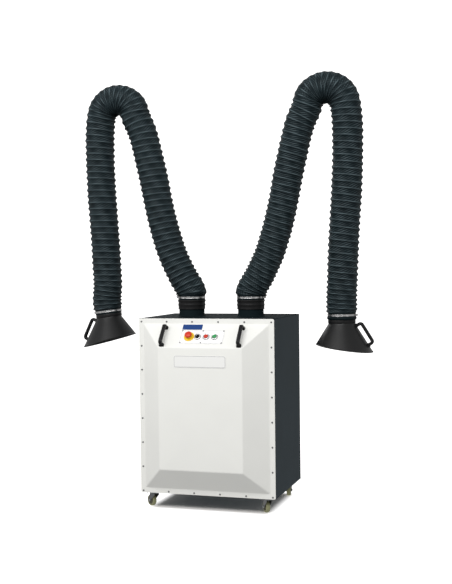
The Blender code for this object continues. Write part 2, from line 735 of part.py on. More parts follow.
def castor_fork(swivel, corner, axle_z):
    """Crown and two cheeks round the wheel, with the axle and kingpin riveted in."""
    top = -FIT - CASTOR_PLATE_THICKNESS - RACEWAY_HEIGHT - FIT
    half = FORK_CROWN / 2
    eye = corner_arc((CASTOR_TRAIL, axle_z), AXLE_NUT_RADIUS + FORK_THICKNESS, 0, -math.pi)
    outline = [(-half, top), (-half, top - half * FORK_SHOULDER_SHARE)] + eye[::-1]
    outline += [(half, top - half * FORK_SHOULDER_SHARE), (half, top)]
    cheek_y = WHEEL_HUB_WIDTH / 2 + RUNNING_GAP + FORK_THICKNESS / 2
    width = cheek_y * 2 + FORK_THICKNESS
    crown = span_box(
        "fork_" + corner, (-half, -width / 2, top - FORK_THICKNESS), (half, width / 2, top)
    )
    cheeks = [flat_outline(f"cheek_{sign}_{corner}", outline, FORK_THICKNESS) for sign in (-1, 1)]
    for sign, cheek in zip((-1, 1), cheeks):
        join(crown, at(cheek, (0, sign * cheek_y, 0), ALONG_Y))
    axle = cylinder("axle_" + corner, AXLE_RADIUS, width, sides=PIN_ROUND)
    join(crown, at(axle, (CASTOR_TRAIL, 0, axle_z), ALONG_Y))
    for sign in (-1, 1):
        nut = cylinder(f"axle_nut_{sign}_{corner}", AXLE_NUT_RADIUS, AXLE_NUT_HEIGHT, sides=6)
        out = sign * (width + AXLE_NUT_HEIGHT - FORK_THICKNESS) / 2
        join(crown, at(nut, (CASTOR_TRAIL, out, axle_z), ALONG_Y))
    rise = RACEWAY_HEIGHT + FIT
    kingpin = cylinder("kingpin_" + corner, KINGPIN_RADIUS, rise + FORK_THICKNESS, sides=PIN_ROUND)
    join(crown, at(kingpin, (0, 0, top + (rise - FORK_THICKNESS) / 2)))
    place(crown, "castor_fork_" + corner, STEEL, swivel)


def castor_wheel(swivel, corner, axle_z):
    """Tyre, recessed web and hub in one turned body."""
    bore = AXLE_RADIUS + FIT
    rim = WHEEL_RADIUS - TREAD_DEPTH
    web = WHEEL_WIDTH / 4
    hub = WHEEL_HUB_WIDTH / 2
    half = WHEEL_WIDTH / 2
    crown = TREAD_DEPTH / 4
    upper = [(bore, hub), (WHEEL_HUB_RADIUS, hub), (WHEEL_HUB_RADIUS, web), (rim, web), (rim, half)]
    tread = [(WHEEL_RADIUS - crown, half), (WHEEL_RADIUS, half - crown)]
    profile = upper + tread + [(r, -z) for r, z in (upper + tread)[::-1]]
    wheel = turned("castor_wheel_" + corner, profile, WHEEL_ROUND)
    place(wheel, "castor_wheel_" + corner, CASTOR_TREAD, swivel, (CASTOR_TRAIL, 0, axle_z), ALONG_Y)


def filter_deck():
    """Partition between the dusty chamber and the fan chamber, with an opening under each cartridge."""
    half = CABINET_WIDTH / 2 - WALL - FIT
    front, back = SHELL_FRONT_Y + WALL + FIT, BACK_Y - WALL - FIT
    deck = span_box("filter_deck", (-half, front, DECK_Z - DECK_LIP), (half, back, DECK_Z + DECK_THICKNESS))
    hollow = span_box(
        "deck_hollow",
        (-half + DECK_THICKNESS, front + DECK_THICKNESS, DECK_Z - DECK_LIP - CUT_OVERRUN),
        (half - DECK_THICKNESS, back - DECK_THICKNESS, DECK_Z),
    )
    cut(deck, hollow)
    for side, sign in SIDES.items():
        hole = cylinder(f"deck_hole_{side}", CARTRIDGE_BORE, DECK_THICKNESS + CUT_OVERRUN * 2)
        cut(deck, at(hole, (sign * CARTRIDGE_SPACING / 2, ARM_Y, DECK_Z)))
    return place(deck, "filter_deck", DARK_PAINT)


def filter_cartridge(side):
    """Pleated cartridge with a closed cap and an open foot ring that stands on the deck."""
    pleats = []
    for i in range(PLEAT_COUNT * 2):
        radius = CARTRIDGE_RADIUS - (PLEAT_DEPTH if i % 2 else 0)
        angle = math.pi * i / PLEAT_COUNT
        pleats.append((radius * math.cos(angle), radius * math.sin(angle)))
    media = flat_outline("cartridge_" + side, pleats, CARTRIDGE_HEIGHT - CARTRIDGE_RIM_HEIGHT)
    middle = CARTRIDGE_HEIGHT / 2
    foot = cylinder("cartridge_foot_" + side, CARTRIDGE_RIM, CARTRIDGE_RIM_HEIGHT)
    cap = cylinder("cartridge_cap_" + side, CARTRIDGE_RIM, CARTRIDGE_RIM_HEIGHT)
    rim_z = middle - CARTRIDGE_RIM_HEIGHT / 2
    join(media, at(foot, (0, 0, -rim_z)), at(cap, (0, 0, rim_z)))
    bore = cylinder("cartridge_bore_" + side, CARTRIDGE_BORE, CARTRIDGE_HEIGHT)
    cut(media, at(bore, (0, 0, -CARTRIDGE_RIM_HEIGHT)))
    x = SIDES[side] * CARTRIDGE_SPACING / 2
    return place(media, "filter_cartridge_" + side, FILTER_MEDIA, None, (x, ARM_Y, CARTRIDGE_Z + middle))


def fan_motor():
    """Flange motor standing on its foot, with cooling ribs along the body."""
    body_top = MOTOR_FOOT_HEIGHT + MOTOR_HEIGHT
    top = body_top + MOTOR_FLANGE_HEIGHT
    bore = SHAFT_RADIUS + FIT
    profile = (
        (MOTOR_FLANGE_RADIUS, top), (MOTOR_FLANGE_RADIUS, body_top), (MOTOR_RADIUS, body_top),
        (MOTOR_RADIUS, MOTOR_FOOT_HEIGHT), (MOTOR_FLANGE_RADIUS, MOTOR_FOOT_HEIGHT), (MOTOR_FLANGE_RADIUS, 0),
        (0, 0), (0, top - SHAFT_IN_MOTOR), (bore, top - SHAFT_IN_MOTOR), (bore, top),
    )
    motor = turned("fan_motor", profile, WHEEL_ROUND)
    ribs = []
    for i in range(COOLING_RIB_COUNT):
        angle = 2 * math.pi * (i + 1 / 2) / COOLING_RIB_COUNT
        size = (COOLING_RIB_HEIGHT * 2, COOLING_RIB_THICKNESS, MOTOR_HEIGHT - COOLING_RIB_HEIGHT)
        rib = box(f"cooling_rib_{i}", size)
        middle = MOTOR_FOOT_HEIGHT + MOTOR_HEIGHT / 2
        place_x, place_y = MOTOR_RADIUS * math.cos(angle), MOTOR_RADIUS * math.sin(angle)
        ribs.append(at(rib, (place_x, place_y, middle), (0, 0, angle)))
    join(motor, *ribs)
    return place(motor, "fan_motor", STEEL, None, (0, 0, MOTOR_Z))


def scroll_outline(inset, past_back):
    """Spiral that widens steadily round the wheel and runs out straight to the back wall."""
    start_angle = math.acos(outlet_low_x() / (FAN_RADIUS + SCROLL_START_GAP))
    points = []
    steps = ROUND
    for i in range(steps + 1):
        angle = start_angle + (2 * math.pi - start_angle) * i / steps
        radius = FAN_RADIUS + SCROLL_START_GAP + SCROLL_GROWTH * angle / (2 * math.pi) - inset
        points.append((radius * math.cos(angle), radius * math.sin(angle)))
    end_y = BACK_Y - WALL - FIT + past_back
    points.append((outlet_high_x() - inset, end_y))
    points.append((outlet_low_x() + inset, end_y))
    return points


def outlet_high_x():
    return FAN_RADIUS + SCROLL_START_GAP + SCROLL_GROWTH


def outlet_low_x():
    return outlet_high_x() - OUTLET_WIDTH


def fan_scroll():
    """Volute of sheet with a round inlet on top and an outlet duct to the back."""
    outer = flat_outline("fan_scroll", scroll_outline(0, 0), SCROLL_HEIGHT)
    hollow_height = SCROLL_HEIGHT - SCROLL_WALL * 2
    inner = flat_outline("scroll_hollow", scroll_outline(SCROLL_WALL, CUT_OVERRUN), hollow_height)
    inlet = cylinder("scroll_inlet", INLET_RADIUS, SCROLL_HEIGHT)
    shaft = cylinder("scroll_shaft_hole", FAN_HUB_RADIUS, SCROLL_HEIGHT, sides=SMALL_ROUND)
    cut(outer, inner, at(inlet, (0, 0, SCROLL_HEIGHT / 2)), at(shaft, (0, 0, -SCROLL_HEIGHT / 2)))
    return place(outer, "fan_scroll", DARK_PAINT, None, (0, 0, SCROLL_Z + SCROLL_HEIGHT / 2))


def fan_impeller():
    """Backward-curved wheel: back disc, hub with its shaft, swept blades and a shroud ring."""
    shaft_end = -SCROLL_CLEAR - SCROLL_WALL - FIT - SHAFT_IN_MOTOR + FIT
    hub_top = FAN_DISC_THICKNESS + FAN_HUB_HEIGHT
    profile = (
        (0, hub_top), (FAN_HUB_RADIUS * HUB_TAPER_SHARE, hub_top), (FAN_HUB_RADIUS, FAN_DISC_THICKNESS),
        (FAN_RADIUS, FAN_DISC_THICKNESS), (FAN_RADIUS, 0), (SHAFT_RADIUS, 0), (SHAFT_RADIUS, shaft_end),
        (0, shaft_end),
    )
    wheel = turned("fan_impeller", profile, ROUND)
    blades = [fan_blade(i) for i in range(BLADE_COUNT)]
    shroud_z = FAN_DISC_THICKNESS + BLADE_HEIGHT
    shroud_profile = (
        (FAN_RADIUS, shroud_z), (FAN_RADIUS, shroud_z - FAN_DISC_THICKNESS),
        (FAN_EYE_RADIUS, shroud_z - FAN_DISC_THICKNESS), (FAN_EYE_RADIUS, shroud_z),
    )
    join(wheel, *blades)
    join(wheel, turned("fan_shroud", shroud_profile, ROUND))
    return place(wheel, "fan_impeller", STEEL, None, (0, 0, SCROLL_Z + SCROLL_WALL + SCROLL_CLEAR))


def fan_blade(index):
    """One blade along a spiral that falls back as it goes out."""
    inner = FAN_EYE_RADIUS * BLADE_START_SHARE
    outer = FAN_RADIUS - BLADE_THICKNESS
    steps = 3
    back, front = [], []
    for i in range(steps + 1):
        radius = inner + (outer - inner) * i / steps
        angle = 2 * math.pi * index / BLADE_COUNT - math.radians(BLADE_SWEEP_DEG) * i / steps
        spread = BLADE_THICKNESS / 2 / radius
        back.append((radius * math.cos(angle - spread), radius * math.sin(angle - spread)))
        front.append((radius * math.cos(angle + spread), radius * math.sin(angle + spread)))
    blade = flat_outline(f"fan_blade_{index}", back + front[::-1], BLADE_HEIGHT)
    return at(blade, (0, 0, (FAN_DISC_THICKNESS + BLADE_HEIGHT) / 2))


def exhaust_grille():
    """Outlet cover on the back, slotted between its bars."""
    width = OUTLET_WIDTH + GRILLE_BORDER * 2
    height = SCROLL_HEIGHT + GRILLE_BORDER * 2
    x = (outlet_high_x() + outlet_low_x()) / 2
    grille = box("exhaust_grille", (width, GRILLE_THICKNESS, height))
    pitch = (SCROLL_HEIGHT - SCROLL_WALL * 2 + GRILLE_BAR) / GRILLE_SLOT_COUNT
    for i in range(GRILLE_SLOT_COUNT):
        z = (i - (GRILLE_SLOT_COUNT - 1) / 2) * pitch
        slot = box(f"slot_{i}", (OUTLET_WIDTH - SCROLL_WALL * 2, GRILLE_THICKNESS * 2, pitch - GRILLE_BAR))
        cut(grille, at(slot, (0, 0, z)))
    place_y = BACK_Y + FIT + GRILLE_THICKNESS / 2
    return place(grille, "exhaust_grille", DARK_PAINT, None, (x, place_y, SCROLL_Z + SCROLL_HEIGHT / 2))


def cable_gland():
    """Inlet gland for the mains lead, with its barrel through the back wall."""
    profile = (
        (GLAND_BORE_RADIUS * 2, GLAND_LENGTH), (GLAND_RADIUS, GLAND_LENGTH - GLAND_NUT_HEIGHT),
        (GLAND_RADIUS, 0), (GLAND_BARREL_RADIUS, 0), (GLAND_BARREL_RADIUS, -WALL - GLAND_NUT_HEIGHT),
        (GLAND_BORE_RADIUS, -WALL - GLAND_NUT_HEIGHT), (GLAND_BORE_RADIUS, GLAND_LENGTH),
    )
    gland = turned("cable_gland", profile, SMALL_ROUND)
    seat = (GLAND_X, BACK_Y + FIT, GLAND_Z)
    return place(gland, "cable_gland", BLACK_PLASTIC, None, seat, (-QUARTER, 0, 0))


def electrics_box():
    """Starter enclosure hung on the inside of the left wall."""
    outline = rounded_rectangle(BOX_DEPTH, BOX_HEIGHT, BOX_RADIUS, 2)
    enclosure = flat_outline("electrics_box", outline, BOX_WIDTH)
    x = -CABINET_WIDTH / 2 + WALL + FIT + BOX_WIDTH / 2
    z = BASE_Z + BOX_ABOVE_BASE + BOX_HEIGHT / 2
    return place(enclosure, "electrics_box", STEEL, None, (x, ARM_Y, z), UPRIGHT)


def hood_pivot(side):
    """Reach and height of the hood's hinge, from where the hose ends and how the hood hangs."""
    tilt = math.radians(HOOD_TILT_DEG[side])
    reach = HOOD_REACH + PIVOT_FROM_END * math.sin(tilt)
    return Vector((reach, 0, TOP_Z + HOSE_END_RISE[side] + PIVOT_FROM_END * math.cos(tilt)))


def arm_route(side):
    """Hose centreline: up the inner leg, over the bend and down the outer leg to the hood."""
    leg = BEND_Z - HOSE_START_Z
    reach = BEND_REACH - BEND_RADIUS
    points = [Vector((reach * out, 0, HOSE_START_Z + leg * up)) for up, out in INNER_LEG_SHARES]
    for i in range(7):
        angle = math.pi * (1 - i / 6)
        offset = Vector((math.cos(angle), 0, math.sin(angle)))
        points.append(Vector((BEND_REACH, 0, BEND_Z)) + offset * BEND_RADIUS)
    pivot = hood_pivot(side)
    drop = BEND_Z - pivot.z
    for down, bulge in OUTER_LEG_SHARES:
        points.append(Vector((HOOD_REACH + LEG_BULGE * bulge, 0, BEND_Z - drop * down)))
    end = Vector((HOOD_REACH, 0, TOP_Z + HOSE_END_RISE[side]))
    points += [pivot + (pivot - end) / 2, pivot, (pivot + end) / 2, end]
    return eased(smooth(points))


def smooth(points, steps=12):
    """Catmull-Rom curve through the points, with mirrored points past both ends."""
    padded = [points[0] * 2 - points[1]] + points + [points[-1] * 2 - points[-2]]
    curve = []
    for a, b, c, d in zip(padded, padded[1:], padded[2:], padded[3:]):
        for i in range(steps):
            t = i / steps
            start, end = (c - a) / 2, (d - b) / 2
            rise = (c - b) * 3 - start * 2 - end
            fall = (b - c) * 2 + start + end
            curve.append(b + start * t + rise * t**2 + fall * t**3)
    return curve + [points[-1]]


def eased(curve):
    """The curve at even steps, averaged twice between its clamped ends, so that no turn is too tight."""
    total = lengths_along(curve)[-1]
    count = round(total / ROUTE_STEP)
    points = stations(curve, [total * i / count for i in range(count + 1)])
    reach = round(ROUTE_EASE / ROUTE_STEP)
    held = round(BASE_SLEEVE / ROUTE_STEP)
    windows = [min(reach, max(0, min(i, count - i) - held)) for i in range(count + 1)]
    for _ in range(2):
        points = [sum(points[i - w:i + w + 1], Vector()) / (w * 2 + 1) for i, w in enumerate(windows)]
    return points


def lengths_along(curve):
    lengths = [0.0]
    for a, b in zip(curve, curve[1:]):
        lengths.append(lengths[-1] + (b - a).length)
    return lengths


def stations(curve, wanted):
    """Points of the curve at the wanted lengths along it, which rise."""
    lengths = lengths_along(curve)
    found, i = [], 0
    for length in wanted:
        while i < len(lengths) - 2 and lengths[i + 1] < length:
            i += 1
        share = (length - lengths[i]) / (lengths[i + 1] - lengths[i])
        found.append(curve[i].lerp(curve[i + 1], share))
    return found


def in_bend(length, total):
    """Whether a place along the hose lies in its tight upper bend."""
    return abs(length / total - BEND_MIDDLE_SHARE) < BEND_SPREAD_SHARE


def hose(arm, hood_frame, side):
    """Ribbed hose in one tube: plain sleeves for the clamps, ribs between, and its bore cut through."""
    curve = arm_route(side)
    total = lengths_along(curve)[-1]
    pitch = (total - BASE_SLEEVE - HOOD_SLEEVE[side]) / RIB_COUNT
    valleys = [BASE_SLEEVE + pitch * i for i in range(RIB_COUNT + 1)]
    ribs = [BASE_SLEEVE + pitch * (i + 1 / 2) for i in range(RIB_COUNT)]
    ring_of = {length: HOSE_VALLEY_RADIUS for length in [0.0] + valleys + [total]}
    ring_of.update({length: HOSE_RIB_RADIUS for length in ribs})
    lengths = sorted(ring_of)
    skin = tube("hose_" + side, stations(curve, lengths), HOSE_VALLEY_RADIUS, [ring_of[s] for s in lengths])
    turns = [s for i, s in enumerate(valleys[1:-1]) if i % 2 or in_bend(s, total)]
    bore_points = stations(curve, [0.0] + turns + [total])
    bore_points[0] -= Vector((0, 0, CUT_OVERRUN))
    bore_points[-1] += (curve[-1] - curve[-2]).normalized() * CUT_OVERRUN
    bore = tube("hose_bore_" + side, bore_points, HOSE_BORE_RADIUS)
    depth = HOSE_SOCKET_DEPTH + CUT_OVERRUN
    base_socket = cylinder("base_socket_" + side, SPIGOT_RADIUS + FIT, depth)
    hood_socket = cylinder("hood_socket_" + side, SPIGOT_RADIUS + FIT, depth)
    hood_socket.parent = hood_frame
    base_socket.parent = arm
    at(base_socket, (0, 0, HOSE_START_Z + HOSE_SOCKET_DEPTH - depth / 2))
    at(hood_socket, (0, 0, -PIVOT_FROM_END + HOSE_SOCKET_DEPTH - depth / 2))
    cut(skin, bore, base_socket, hood_socket)
    return place(skin, "hose_" + side, HOSE_FABRIC, arm)


def stub_pipe(arm, side):
    """Fixed duct stub with a bead that rests on the top plate."""
    top = TOP_Z + STUB_HEIGHT
    inner = DUCT_RADIUS - DUCT_WALL
    bead = DUCT_RADIUS + STUB_BEAD
    seat = TOP_Z + FIT
    profile = (
        (DUCT_RADIUS, top), (DUCT_RADIUS, seat + STUB_BEAD_HEIGHT), (bead, seat + STUB_BEAD_HEIGHT),
        (bead, seat), (DUCT_RADIUS, seat), (DUCT_RADIUS, TOP_Z - STUB_BELOW),
        (inner, TOP_Z - STUB_BELOW), (inner, top),
    )
    return place(turned("stub_pipe_" + side, profile), "stub_pipe_" + side, DARK_PAINT, arm)


def swivel_cuff(arm, side):
    """Collar that turns on the stub, with a spigot for the hose on top."""
    shoulder = TOP_Z + STUB_HEIGHT + FIT
    top = TOP_Z + CUFF_TOP
    foot = TOP_Z + CUFF_FOOT
    inner = SPIGOT_RADIUS - DUCT_WALL
    bore = round_hole(DUCT_RADIUS, ROUND)
    profile = (
        (SPIGOT_RADIUS, top + SPIGOT_LENGTH), (SPIGOT_RADIUS, top), (CUFF_RADIUS, top), (CUFF_RADIUS, foot),
        (bore, foot), (bore, shoulder), (inner, shoulder), (inner, top + SPIGOT_LENGTH),
    )
    return place(turned("swivel_cuff_" + side, profile), "swivel_cuff_" + side, BLACK_PLASTIC, arm)


def hose_clamp(frame, name, z):
    """Worm-drive band with its screw housing on the outer side."""
    inner = HOSE_VALLEY_RADIUS + FIT
    outer = inner + CLAMP_THICKNESS
    half = CLAMP_WIDTH / 2
    band = turned(name, ((outer, half), (outer, -half), (inner, -half), (inner, half)), WHEEL_ROUND)
    housing = box(name + "_housing", (CLAMP_BOX_HEIGHT, CLAMP_BOX_LENGTH, CLAMP_WIDTH - FIT))
    out = inner + CLAMP_THICKNESS / 2 + CLAMP_BOX_HEIGHT / 2
    screw = cylinder(name + "_screw", CLAMP_SCREW_RADIUS, CLAMP_SCREW_LENGTH, sides=PIN_ROUND)
    join(band, at(housing, (out, 0, 0)), at(screw, (out, CLAMP_BOX_LENGTH / 4, 0), ALONG_Y))
    return place(band, name, STEEL, frame, (0, 0, z))


def pivot_bracket(frame, name, pivot_z):
    """Bar across the spigot with a fork and pin that carry the hinge."""
    length = (SPIGOT_RADIUS - DUCT_WALL) * 2 - CROSSBAR_WIDTH * CROSSBAR_END_SHARE
    down = PIVOT_FROM_END - CROSSBAR_UP
    bar = box(name, (CROSSBAR_WIDTH, length, CROSSBAR_HEIGHT))
    fork = at(clevis(name + "_fork", down), (0, 0, down), (0, QUARTER, 0))
    pin = cylinder(name + "_pin", PIN_RADIUS, pin_length(), sides=PIN_ROUND)
    join(bar, fork, at(pin, (0, 0, down), ALONG_Y))
    return place(bar, name, STEEL, frame, (0, 0, pivot_z - down))


def clevis(name, reach):
    """U-shaped fork round the origin, open to -X, with its web at the reach."""
    inner = EYE_WIDTH / 2 + RUNNING_GAP
    outer = inner + EAR_THICKNESS
    web = reach - EAR_THICKNESS
    upper = [(web, inner), (-EAR_RADIUS, inner), (-EAR_RADIUS, outer), (reach, outer)]
    return flat_outline(name, upper + [(x, -y) for x, y in upper[::-1]], EAR_WIDTH)


def pin_length():
    return EYE_WIDTH + (RUNNING_GAP + EAR_THICKNESS) * 2 + PIN_RADIUS


def eye(name, location):
    """Hinge eye along Y, and the cutter for its pin."""
    barrel = cylinder(name, EYE_RADIUS, EYE_WIDTH, sides=SMALL_ROUND)
    hole = cylinder(name + "_hole", round_hole(PIN_RADIUS, PIN_ROUND), EYE_WIDTH * 2, sides=PIN_ROUND)
    return at(barrel, location, ALONG_Y), at(hole, location, ALONG_Y)


def apex_length(curve):
    heights = [point.z for point in curve]
    return lengths_along(curve)[heights.index(max(heights))]


def link_points(curve, start, end):
    count = max(2, round((end - start) / LINK_STEP))
    return stations(curve, [start + (end - start) * i / count for i in range(count + 1)])


def lower_link(arm, side):
    """Bent support tube inside the inner leg, with an eye at both ends."""
    curve = arm_route(side)
    shoulder = Vector((0, 0, HOSE_START_Z + PIVOT_FROM_END))
    apex = apex_length(curve)
    elbow = stations(curve, [apex])[0]
    path = [shoulder] + link_points(curve, PIVOT_FROM_END + EYE_RADIUS * 2, apex - EYE_RADIUS) + [elbow]
    link = tube("lower_link_" + side, [point - shoulder for point in path], LINK_RADIUS)
    foot, foot_hole = eye("shoulder_eye_" + side, (0, 0, 0))
    head, head_hole = eye("elbow_eye_" + side, elbow - shoulder)
    cut(join(link, foot, head), foot_hole, head_hole)
    return place(link, "lower_link_" + side, STEEL, arm, shoulder)


def upper_link(arm, side):
    """Bent support tube inside the outer leg: a fork and pin at the elbow, an eye at the hood."""
    curve = arm_route(side)
    apex = apex_length(curve)
    elbow = stations(curve, [apex])[0]
    pivot = hood_pivot(side)
    total = lengths_along(curve)[-1]
    reach = EYE_RADIUS + RUNNING_GAP + EAR_THICKNESS
    start = apex + reach - EAR_THICKNESS / 2
    path = link_points(curve, start, total - PIVOT_FROM_END - EYE_RADIUS) + [pivot]
    link = tube("upper_link_" + side, [point - elbow for point in path], LINK_RADIUS)
    pin = cylinder("elbow_pin_" + side, PIN_RADIUS, pin_length(), sides=PIN_ROUND)
    foot, foot_hole = eye("hood_eye_" + side, pivot - elbow)
    join(link, clevis("elbow_fork_" + side, reach), at(pin, (0, 0, 0), ALONG_Y), foot)
    cut(link, foot_hole)
    return place(link, "upper_link_" + side, STEEL, arm, elbow)


def hood(frame, side):
    """Spigot, neck and cone turned in one, then cut off obliquely at the mouth."""
    end_z = -PIVOT_FROM_END - FIT
    neck_z = end_z - NECK_LENGTH
    slope = math.tan(math.radians(CONE_ANGLE_DEG))
    depth = MOUTH_DROP + DUCT_RADIUS
    inner = SPIGOT_RADIUS - DUCT_WALL
    across = HOOD_WALL / math.cos(math.radians(CONE_ANGLE_DEG))
    wide = DUCT_RADIUS + depth * slope
    profile = (
        (SPIGOT_RADIUS, -PIVOT_FROM_END + SPIGOT_LENGTH), (SPIGOT_RADIUS, end_z), (DUCT_RADIUS, end_z),
        (DUCT_RADIUS, neck_z), (wide, neck_z - depth), (wide - across, neck_z - depth),
        (DUCT_RADIUS - across, neck_z), (inner, neck_z), (inner, -PIVOT_FROM_END + SPIGOT_LENGTH),
    )
    body = turned("hood_" + side, profile)
    below = box("hood_mouth_cut_" + side, (wide * 3, wide * 3, depth * 2), (0, 0, -depth))
    cut(body, at(below, (0, 0, neck_z - MOUTH_DROP), (0, math.radians(MOUTH_TILT_DEG), 0)))
    return place(body, "hood_" + side, BLACK_PLASTIC, frame)


def hood_handle(frame, side):
    """Loop handle lying along the outer side of the cone."""
    angle = math.radians(CONE_ANGLE_DEG)
    outline = arch_outline(HOOD_HANDLE_LENGTH, HOOD_HANDLE_STANDOFF, HOOD_HANDLE_BAR, HOOD_HANDLE_CORNER)
    handle = flat_outline("hood_handle_" + side, outline, HOOD_HANDLE_WIDTH)
    along = HOOD_HANDLE_DOWN + HOOD_HANDLE_LENGTH / 2
    x = DUCT_RADIUS + along * math.sin(angle) + FIT * math.cos(angle)
    z = -PIVOT_FROM_END - FIT - NECK_LENGTH - along * math.cos(angle) + FIT * math.sin(angle)
    return place(
        handle, "hood_handle_" + side, BLACK_PLASTIC, frame, (x, 0, z), (QUARTER, QUARTER - angle, 0)
    )


def arm(side):
    """One whole arm; its frame has +X outwards from the stub on either side."""
    turn = 0 if side == "right" else math.pi
    frame = anchor("arm_" + side, (SIDES[side] * STUB_OFFSET, ARM_Y, 0), (0, 0, turn))
    tilt = math.radians(HOOD_TILT_DEG[side])
    hood_frame = anchor("hood_frame_" + side, hood_pivot(side), (0, tilt, 0), frame)
    stub_pipe(frame, side)
    swivel_cuff(frame, side)
    hose_clamp(frame, "base_clamp_" + side, HOSE_START_Z + BASE_CLAMP_UP)
    pivot_bracket(frame, "shoulder_bracket_" + side, HOSE_START_Z + PIVOT_FROM_END)
    lower_link(frame, side)
    upper_link(frame, side)
    hose(frame, hood_frame, side)
    pivot_bracket(hood_frame, "hood_bracket_" + side, 0)
    hose_clamp(hood_frame, "hood_clamp_" + side, -PIVOT_FROM_END + HOOD_CLAMP_UP[side])
    hood(hood_frame, side)
    hood_handle(hood_frame, side)


def build():
    cabinet_shell()
    top_plate()
    base_plate()
    slope = slope_anchor()
    holes = barrel_holes(slope)
    front_panel(holes)
    control_plate(slope, holes)
    emergency_stop_collar(slope)
    emergency_stop_button(slope)
    for label in ("selector", "stop", "start"):
        control_bezel(slope, label)
    selector_knob(slope)
    push_button(slope, "stop", RED_PLASTIC)
    push_button(slope, "start", GREEN_PLASTIC)
    filter_deck()
    fan_motor()
    fan_scroll()
    fan_impeller()
    exhaust_grille()
    cable_gland()
    electrics_box()
    for side in SIDES:
        grab_handle(slope, side)
        filter_cartridge(side)
        arm(side)
    for corner in CASTOR_TURN_DEG:
        castor(corner)


build()
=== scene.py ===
"""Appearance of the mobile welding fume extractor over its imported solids."""
import math

import bmesh
import bpy
import numpy as np
from mathutils import Matrix, Vector


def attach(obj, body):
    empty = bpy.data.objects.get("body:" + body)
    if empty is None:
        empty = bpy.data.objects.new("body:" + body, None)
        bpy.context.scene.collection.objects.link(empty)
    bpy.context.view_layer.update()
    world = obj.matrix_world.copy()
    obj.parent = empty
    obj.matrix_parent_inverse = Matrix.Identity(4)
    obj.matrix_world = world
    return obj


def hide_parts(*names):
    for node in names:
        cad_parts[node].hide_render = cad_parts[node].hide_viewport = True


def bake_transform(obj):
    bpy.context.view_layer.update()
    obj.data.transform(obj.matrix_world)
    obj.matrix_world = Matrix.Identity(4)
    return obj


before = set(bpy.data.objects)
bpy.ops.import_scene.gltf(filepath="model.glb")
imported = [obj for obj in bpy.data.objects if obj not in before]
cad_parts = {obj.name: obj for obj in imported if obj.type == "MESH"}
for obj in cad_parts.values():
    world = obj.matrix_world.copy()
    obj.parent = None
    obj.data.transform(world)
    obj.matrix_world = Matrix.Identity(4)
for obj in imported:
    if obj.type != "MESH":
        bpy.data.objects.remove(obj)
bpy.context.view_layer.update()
TAU = 2 * math.pi
SIDES = {"left": -1, "right": 1}

# Sizes shared with the solids, in metres
FRONT_Y, BACK_Y, ARM_Y = -0.2475, 0.3525, 0.0525
CABINET_WIDTH, CABINET_HEIGHT = 0.800, 1.000
BASE_Z, TOP_Z = 0.090, 1.090
FIT, SHEET, CONTROL_PLATE = 0.0003, 0.002, 0.0015
BORDER, RELIEF_DEPTH, RELIEF_SLOPE_WIDTH = 0.030, 0.105, 0.126
SLOPE_LENGTH = math.hypot(RELIEF_DEPTH, RELIEF_SLOPE_WIDTH)
CONTROLS_DOWN = 0.090
STUB_OFFSET = 0.182
HOSE_START_Z = 1.1873
PIVOT_FROM_END = 0.060
BEND_REACH, BEND_Z, BEND_RADIUS = 0.456, 2.282, 0.113
HOOD_REACH, LEG_BULGE = 0.537, 0.042
HOSE_END_Z = {"left": 1.102, "right": 1.074}
HOOD_TILT = {"left": math.radians(7), "right": 0.0}
BASE_CLAMP_UP, HOOD_CLAMP_UP = 0.013, {"left": 0.014, "right": 0.026}
CLAMP_RADIUS = 0.0800
NECK_LENGTH, MOUTH_DROP = 0.023, 0.138
CONE_ANGLE, MOUTH_TILT = math.radians(32), math.radians(8)
DUCT_RADIUS, DUCT_WALL, SPIGOT_RADIUS, SPIGOT_LENGTH = 0.075, 0.002, 0.073, 0.032
WHEEL_RADIUS = 0.0325
# The hose's two legs: (share of the leg's height, share of its reach or bulge)
INNER_LEG = (
    (0.000, 0.000), (0.020, 0.000), (0.040, 0.000), (0.062, 0.028), (0.085, 0.080), (0.127, 0.160),
    (0.172, 0.232), (0.217, 0.302), (0.298, 0.402), (0.470, 0.555), (0.653, 0.672), (0.826, 0.800),
    (0.925, 0.888),
)
OUTER_LEG = (
    (0.070, 0.93), (0.160, 1.00), (0.350, 0.88), (0.500, 0.64), (0.640, 0.38), (0.780, 0.20), (0.900, 0.06),
)


# ---- frames ----

def shifted(x, y, z):
    return Matrix.Translation((x, y, z))


def turned(angle, axis):
    return Matrix.Rotation(angle, 4, axis)


def arm_frame(side):
    """Frame of one arm: origin on the floor under the stub, +X outwards."""
    return shifted(SIDES[side] * STUB_OFFSET, ARM_Y, 0) @ turned(0 if side == "right" else math.pi, "Z")


def hood_pivot(side):
    """The hood's pin in the arm's X and Z: up from the hose's end along the tilted neck."""
    tilt = HOOD_TILT[side]
    x = HOOD_REACH + PIVOT_FROM_END * math.sin(tilt)
    return np.array([x, HOSE_END_Z[side] + PIVOT_FROM_END * math.cos(tilt)])


def hood_frame(side):
    """Frame of one hood: origin on its pin, Z up along the neck."""
    x, z = hood_pivot(side)
    return arm_frame(side) @ shifted(x, 0, z) @ turned(HOOD_TILT[side], "Y")


def slope_frame():
    """Frame on the control slope: X right, Y up the slope, Z out of it."""
    down = CONTROLS_DOWN / SLOPE_LENGTH
    place = (0, FRONT_Y - RELIEF_DEPTH * down, TOP_Z - BORDER - RELIEF_SLOPE_WIDTH * down)
    return shifted(*place) @ turned(math.atan2(RELIEF_SLOPE_WIDTH, RELIEF_DEPTH), "X")


def face_frame(y):
    """Frame on an upright face: X right, Y up, Z out to the front."""
    return shifted(0, y, 0) @ turned(math.pi / 2, "X")


# ---- meshes: a part is a pair of vertices and quads ----

